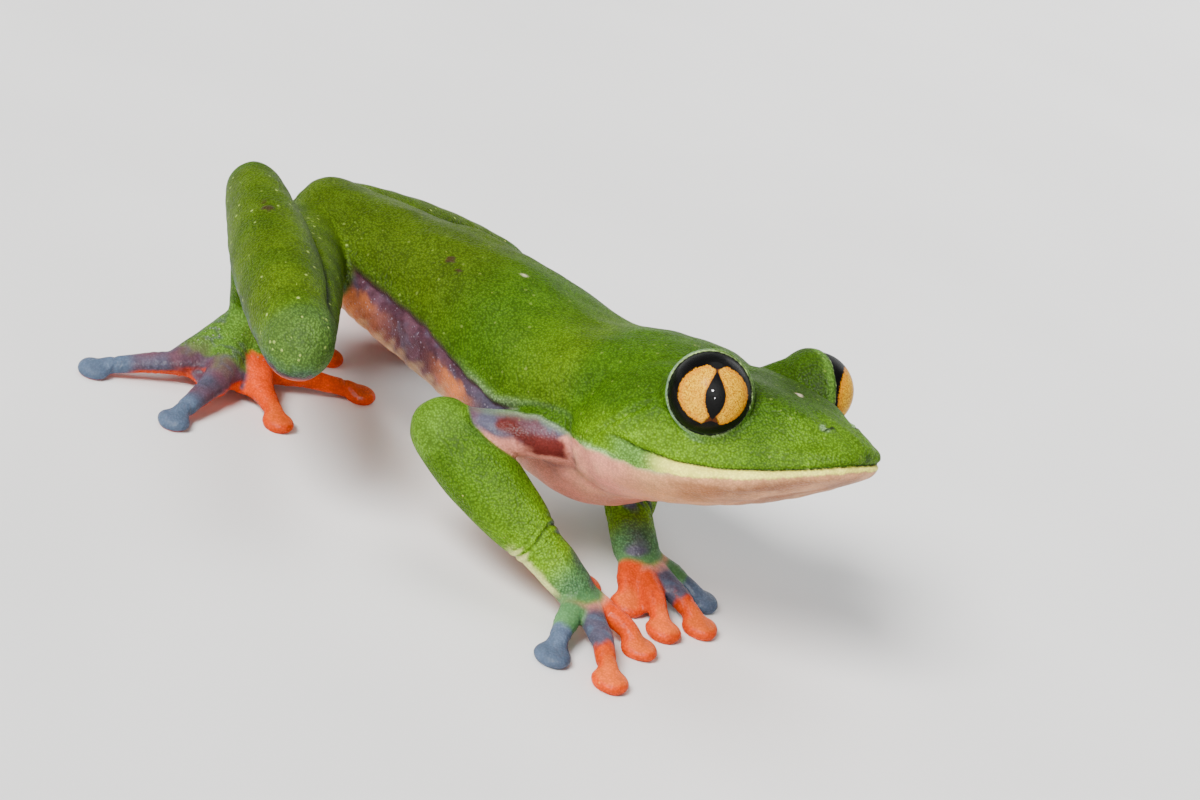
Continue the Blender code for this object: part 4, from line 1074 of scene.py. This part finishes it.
def skin_material():
    """Moist fine-grained skin: its layered tint, fine granules with painted shade between them, pale warts and
    stipples, and a soft sheen.
    """
    n = Nodes(bpy.data.materials.new("frog_skin"))
    rough, granules = n.attribute("rough"), n.cells(4.5)["Distance"]
    fine, cloud, dents = n.noise(7.0, 2.0), n.noise(0.30, 4.0, 0.6), n.noise(0.9, 3.0, 0.6)
    # Each granule is painted lighter in its middle and darker at its edge: partly grain, partly painted shade
    # between granules.
    grain_and_shade = n.math("MULTIPLY_ADD", n.step(granules, 0.05, 0.75, 0.30, -0.44), rough, 1.0)
    colour = n.attribute("tint", "Color")
    for value in (grain_and_shade, n.step(cloud, 0.30, 0.70, 0.80, 1.18)):
        colour = n.mix(1.0, colour, n.grey(value), "MULTIPLY")
    height = n.plus(n.times(granules, n.times(rough, -0.13)), n.times(fine, 0.01), n.times(dents, 0.12))
    # Each kind of dot: its cells, sizes, share and attribute, how strong its colour is, that colour, its height.
    for kind, amount, pale, rise in (
        ((3.0, 0.13, 0.24, 0.50, "stipple"), 0.30, (0.34, 0.52, 0.08), 0.03),
        ((0.95, 0.09, 0.20, 0.78, "warts"), 0.60, (0.42, 0.56, 0.12), 0.07),
        ((2.6, 0.16, 0.30, 0.75, "granules"), 0.38, (0.36, 0.30, 0.38), 0.06),
        ((0.42, 0.035, 0.075, 0.40, "rough"), 0.75, (0.62, 0.60, 0.16), 0.0),
    ):
        dots = n.dots(*kind)
        colour = n.mix(n.times(dots, amount), colour, pale)
        height = n.plus(height, n.times(dots, rise))
    return n.finish(
        Base_Color=colour, Normal=n.relief(height, MM, 0.8), Specular_IOR_Level=0.06,
        Roughness=n.times(n.step(fine, 0.3, 0.7, 0.40, 0.60), n.step(rough, 0.4, 1.0, 0.72, 1.0)),
        Subsurface_Weight=0.06, Subsurface_Radius=(0.9, 0.45, 0.2), Subsurface_Scale=0.6 * MM,
    )


IRIS_RADIUS, PUPIL_HALF_WIDTH, PUPIL_HALF_HEIGHT = 3.06, 0.88, 2.1
DARK_GOLD, GOLD, GOLD_STREAK = (0.38, 0.120, 0.001), (0.84, 0.470, 0.001), (0.66, 0.270, 0.001)
IRIS_RIM, PUPIL_RIM, SEAM = (0.45, 0.100, 0.001), (0.34, 0.07, 0.004), (0.045, 0.007, 0.002)
BLACK = (0.002, 0.002, 0.002)


def eye_material():
    """A wet eye: golden iris, black ring and upright spindle pupil. In its place, +Z looks out and +Y is up."""
    n = Nodes(bpy.data.materials.new("frog_eye"))
    x, y, z = n.add("ShaderNodeSeparateXYZ", Vector=n.attribute("place", "Vector")).outputs
    wide, high, tall = n.math("ABSOLUTE", x), n.math("ABSOLUTE", y), n.times(y, 1.16)
    grain, streak = n.noise(6.5, 3.0, 0.75), n.noise(1.6, 3.0)
    jitter = n.times(n.minus(n.noise(4.2, 3.0, 0.80), 0.5), 0.50)
    radius = n.math("SQRT", n.plus(n.times(x, x), n.times(tall, tall)))
    notch = n.times(n.step(wide, 0.95, 0.0), n.step(high, 1.5, 2.6), 0.55)
    ragged = n.step(n.plus(radius, jitter, notch), IRIS_RADIUS - 0.04, IRIS_RADIUS + 0.04)
    level = n.math("POWER", n.math("DIVIDE", high, PUPIL_HALF_HEIGHT), n.step(y, -0.6, 0.6, 2.5, 1.45))
    half_width = n.times(n.math("MAXIMUM", n.minus(1.0, level), 0.0), PUPIL_HALF_WIDTH)
    past_slit = n.plus(n.minus(wide, half_width), n.times(jitter, n.step(y, 1.0, -2.0, 0.15, 0.7)))
    # Above and below the pupil a dark seam widens towards the rim of the iris.
    flare = n.plus(n.step(y, 2.0, 3.0, 0.0, 0.22), n.step(y, -1.5, -2.4, 0.0, 0.50), 0.08)
    seam = n.plus(n.minus(wide, flare), n.times(jitter, 0.8))
    colour = n.mix(n.step(grain, 0.38, 0.60), DARK_GOLD, GOLD)
    for share, tone in (
        (n.step(streak, 0.42, 0.70, 0.0, 0.4), GOLD_STREAK),
        (n.step(radius, 2.5, IRIS_RADIUS, 0.0, 0.55), IRIS_RIM),
        (n.step(past_slit, 0.35, 0.0, 0.0, 0.6), PUPIL_RIM), (n.step(seam, 0.22, -0.06, 0.0, 0.96), SEAM),
        (n.step(past_slit, 0.05, -0.03), BLACK), (n.math("MAXIMUM", ragged, n.step(z, 0.4, 0.0)), BLACK),
    ):
        colour = n.mix(share, colour, tone)
    return n.finish(
        Base_Color=colour, Normal=n.relief(grain, 0.05 * MM, 0.6), Roughness=0.45, Specular_IOR_Level=0.03,
        Coat_Weight=0.11, Coat_Roughness=0.015, Coat_IOR=1.34,
    )


def floor_material():
    n = Nodes(bpy.data.materials.new("pale_floor"))
    return n.finish(Base_Color=n.grey(n.step(n.noise(0.02, 2.0), 0.3, 0.7, 0.76, 0.80)), Roughness=0.7)


# ---------------------------------------------------------------- the eyes, stage, lights and camera
# How each eye's iris is turned, in the head's frame.
GAZE = {"right": (0.645, -0.764, 0.04), "left": (0.80, 0.60, 0.00)}
CORNEA_RISE = 0.012       # how far the cornea stands out, as a share of the eyeball's radius
CAMERA_AT = (158.34, -239.72, 142.14)
CAMERA_RIGHT, CAMERA_BACK = (0.7307, 0.6177, 0.2910), (0.4894, -0.7714, 0.4070)
CAMERA_LENS, CAMERA_SENSOR = 100.0, 36.0
FLOOR_HALF_WIDTH = 20.0   # in metres, as are the lights' sizes and places below
WORLD_COLOUR, KEY_COLOUR = (0.93, 0.96, 1.0, 1.0), (1.0, 0.98, 0.95)
LIT_MIDDLE, GLINT_AWAY = Vector((0.0, 0.0, 0.015)), 0.30
# The discs that glint in the right eye: name, how far above and to the left of its gaze they glint, size, power.
GLINTS = [("glint", 0.13, 0.075, 0.030, 3.6), ("small_glint", -0.06, 0.02, 0.016, 0.8)]


def put(name, data):
    """A new object, in the scene."""
    made = bpy.data.objects.new(name, data)
    bpy.context.scene.collection.objects.link(made)
    return made


def put_mesh(name, bm, material=None):
    mesh = bpy.data.meshes.new(name)
    bm.to_mesh(mesh)
    bm.free()
    if material:
        mesh.materials.append(material)
    return put(name, mesh)


def turned(right, up, back):
    """The turn to these three axes."""
    return Matrix((right, up, back)).transposed().to_4x4()


def gaze(side):
    return (head_frame().to_3x3() @ Vector(GAZE[side])).normalized()


def make_eye(side, material, offset):
    """An eyeball with a slightly raised cornea over the iris."""
    bm = bmesh.new()
    bmesh.ops.create_uvsphere(bm, u_segments=72, v_segments=48, radius=EYE_RADIUS)
    for vertex in bm.verts:
        front = max(vertex.co.z / EYE_RADIUS, 0.0)
        vertex.co *= 1 - CORNEA_RISE + CORNEA_RISE * front ** 3
    eye = put_mesh(f"eyeball_{side}", bm, material)
    mesh = eye.data
    place = mesh.attributes.new("place", "FLOAT_VECTOR", "POINT")
    place.data.foreach_set("vector", [part for vertex in mesh.vertices for part in vertex.co])
    look = gaze(side)
    across = (head_frame().to_3x3() @ Vector((0, 0, 1))).cross(look).normalized()
    mesh.transform(Matrix.Scale(MM, 4) @ turned(across, look.cross(across), look))
    mesh.shade_smooth()
    eye.location = eye_middle(SIDES[side]) * MM + offset
    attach(eye, "root")
    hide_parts(f"eye_{side}")
    return eye


def frame_offset():
    """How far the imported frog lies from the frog's own frame: where its eyes are against where they are drawn."""
    shift = Vector()
    for side, sign in SIDES.items():
        low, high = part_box(f"eye_{side}")
        shift += (Vector(low) + Vector(high)) / 2 - eye_middle(sign) * MM
    return Vector((shift.x / 2, shift.y / 2, 0.0))


def make_camera(offset):
    camera = put("camera", bpy.data.cameras.new("camera"))
    camera.data.lens, camera.data.sensor_width = CAMERA_LENS, CAMERA_SENSOR
    right, back = Vector(CAMERA_RIGHT).normalized(), Vector(CAMERA_BACK).normalized()
    place = Matrix.Translation(Vector(CAMERA_AT) * MM + offset)
    camera.matrix_world = place @ turned(right, back.cross(right), back)
    bpy.context.scene.camera = camera
    return camera


def make_stage():
    bm = bmesh.new()
    bmesh.ops.create_grid(bm, x_segments=2, y_segments=2, size=FLOOR_HALF_WIDTH)
    floor = put_mesh("floor", bm, floor_material())
    # The room is bright low down, where it meets the floor, and dimmer overhead.
    n = Nodes(bpy.data.worlds.new("studio"))
    way = n.add("ShaderNodeTexCoord").outputs["Generated"]
    height = n.add("ShaderNodeSeparateXYZ", Vector=way).outputs["Z"]
    light = n.step(height, 0.02, 0.26, 1.35, 0.18)
    bpy.context.scene.world = n.finish("Background", Color=WORLD_COLOUR, Strength=light)


def add_light(name, kind, **settings):
    light = put(name, bpy.data.lights.new(name, kind))
    for setting, value in settings.items():
        setattr(light.data, setting, value)
    return light


def add_disc(name, place, aim, size, power):
    """A round light at a place, turned to shine at another."""
    light = add_light(name, "AREA", shape="DISK", size=size, energy=power)
    light.location = place
    light.rotation_euler = (Vector(aim) - Vector(place)).to_track_quat("-Z", "Y").to_euler()
    return light


def add_sun(name, way, strength, width, colour=(1, 1, 1)):
    """A far soft light that comes from a direction, as wide as an angle."""
    light = add_light(name, "SUN", energy=strength, angle=math.radians(width), color=colour)
    light.rotation_euler = Vector(way).to_track_quat("Z", "Y").to_euler()


def light_stage(camera, right_eye):
    """A broad soft key beside the camera, weak light from above and behind, and discs that glint in the eye."""
    right, up, back = camera.matrix_world.to_3x3().col
    add_sun("key", back * 0.40 + up * 0.26 - right * 0.12, 7.0, 24.0, KEY_COLOUR)
    add_sun("soft_top", (-0.10, 0.10, 0.50), 1.6, 40.0)
    behind = LIT_MIDDLE - back * 0.30 + Vector((0, 0, 0.22)) + right * 0.15
    add_disc("rim", behind, LIT_MIDDLE, 0.20, 0.3)
    eye, look = right_eye.location, gaze("right")
    to_camera = (camera.matrix_world.translation - eye).normalized()
    for name, above, left, size, power in GLINTS:
        shine = (look + up * above - right * left).normalized()
        away = shine * (2 * shine.dot(to_camera)) - to_camera
        add_disc(name, eye + away * GLINT_AWAY, eye, size, power).visible_diffuse = False


def main():
    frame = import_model()
    offset = frame_offset()
    iris = eye_material()
    eyes = {side: make_eye(side, iris, offset) for side in SIDES}
    skin = make_skin()
    skin.location = offset
    skin.data.materials.append(skin_material())
    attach(skin, "root")
    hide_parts(*[node for node in frame["nodes"] if not node.startswith("eye_")])
    camera = make_camera(offset)
    make_stage()
    light_stage(camera, eyes["right"])


main()
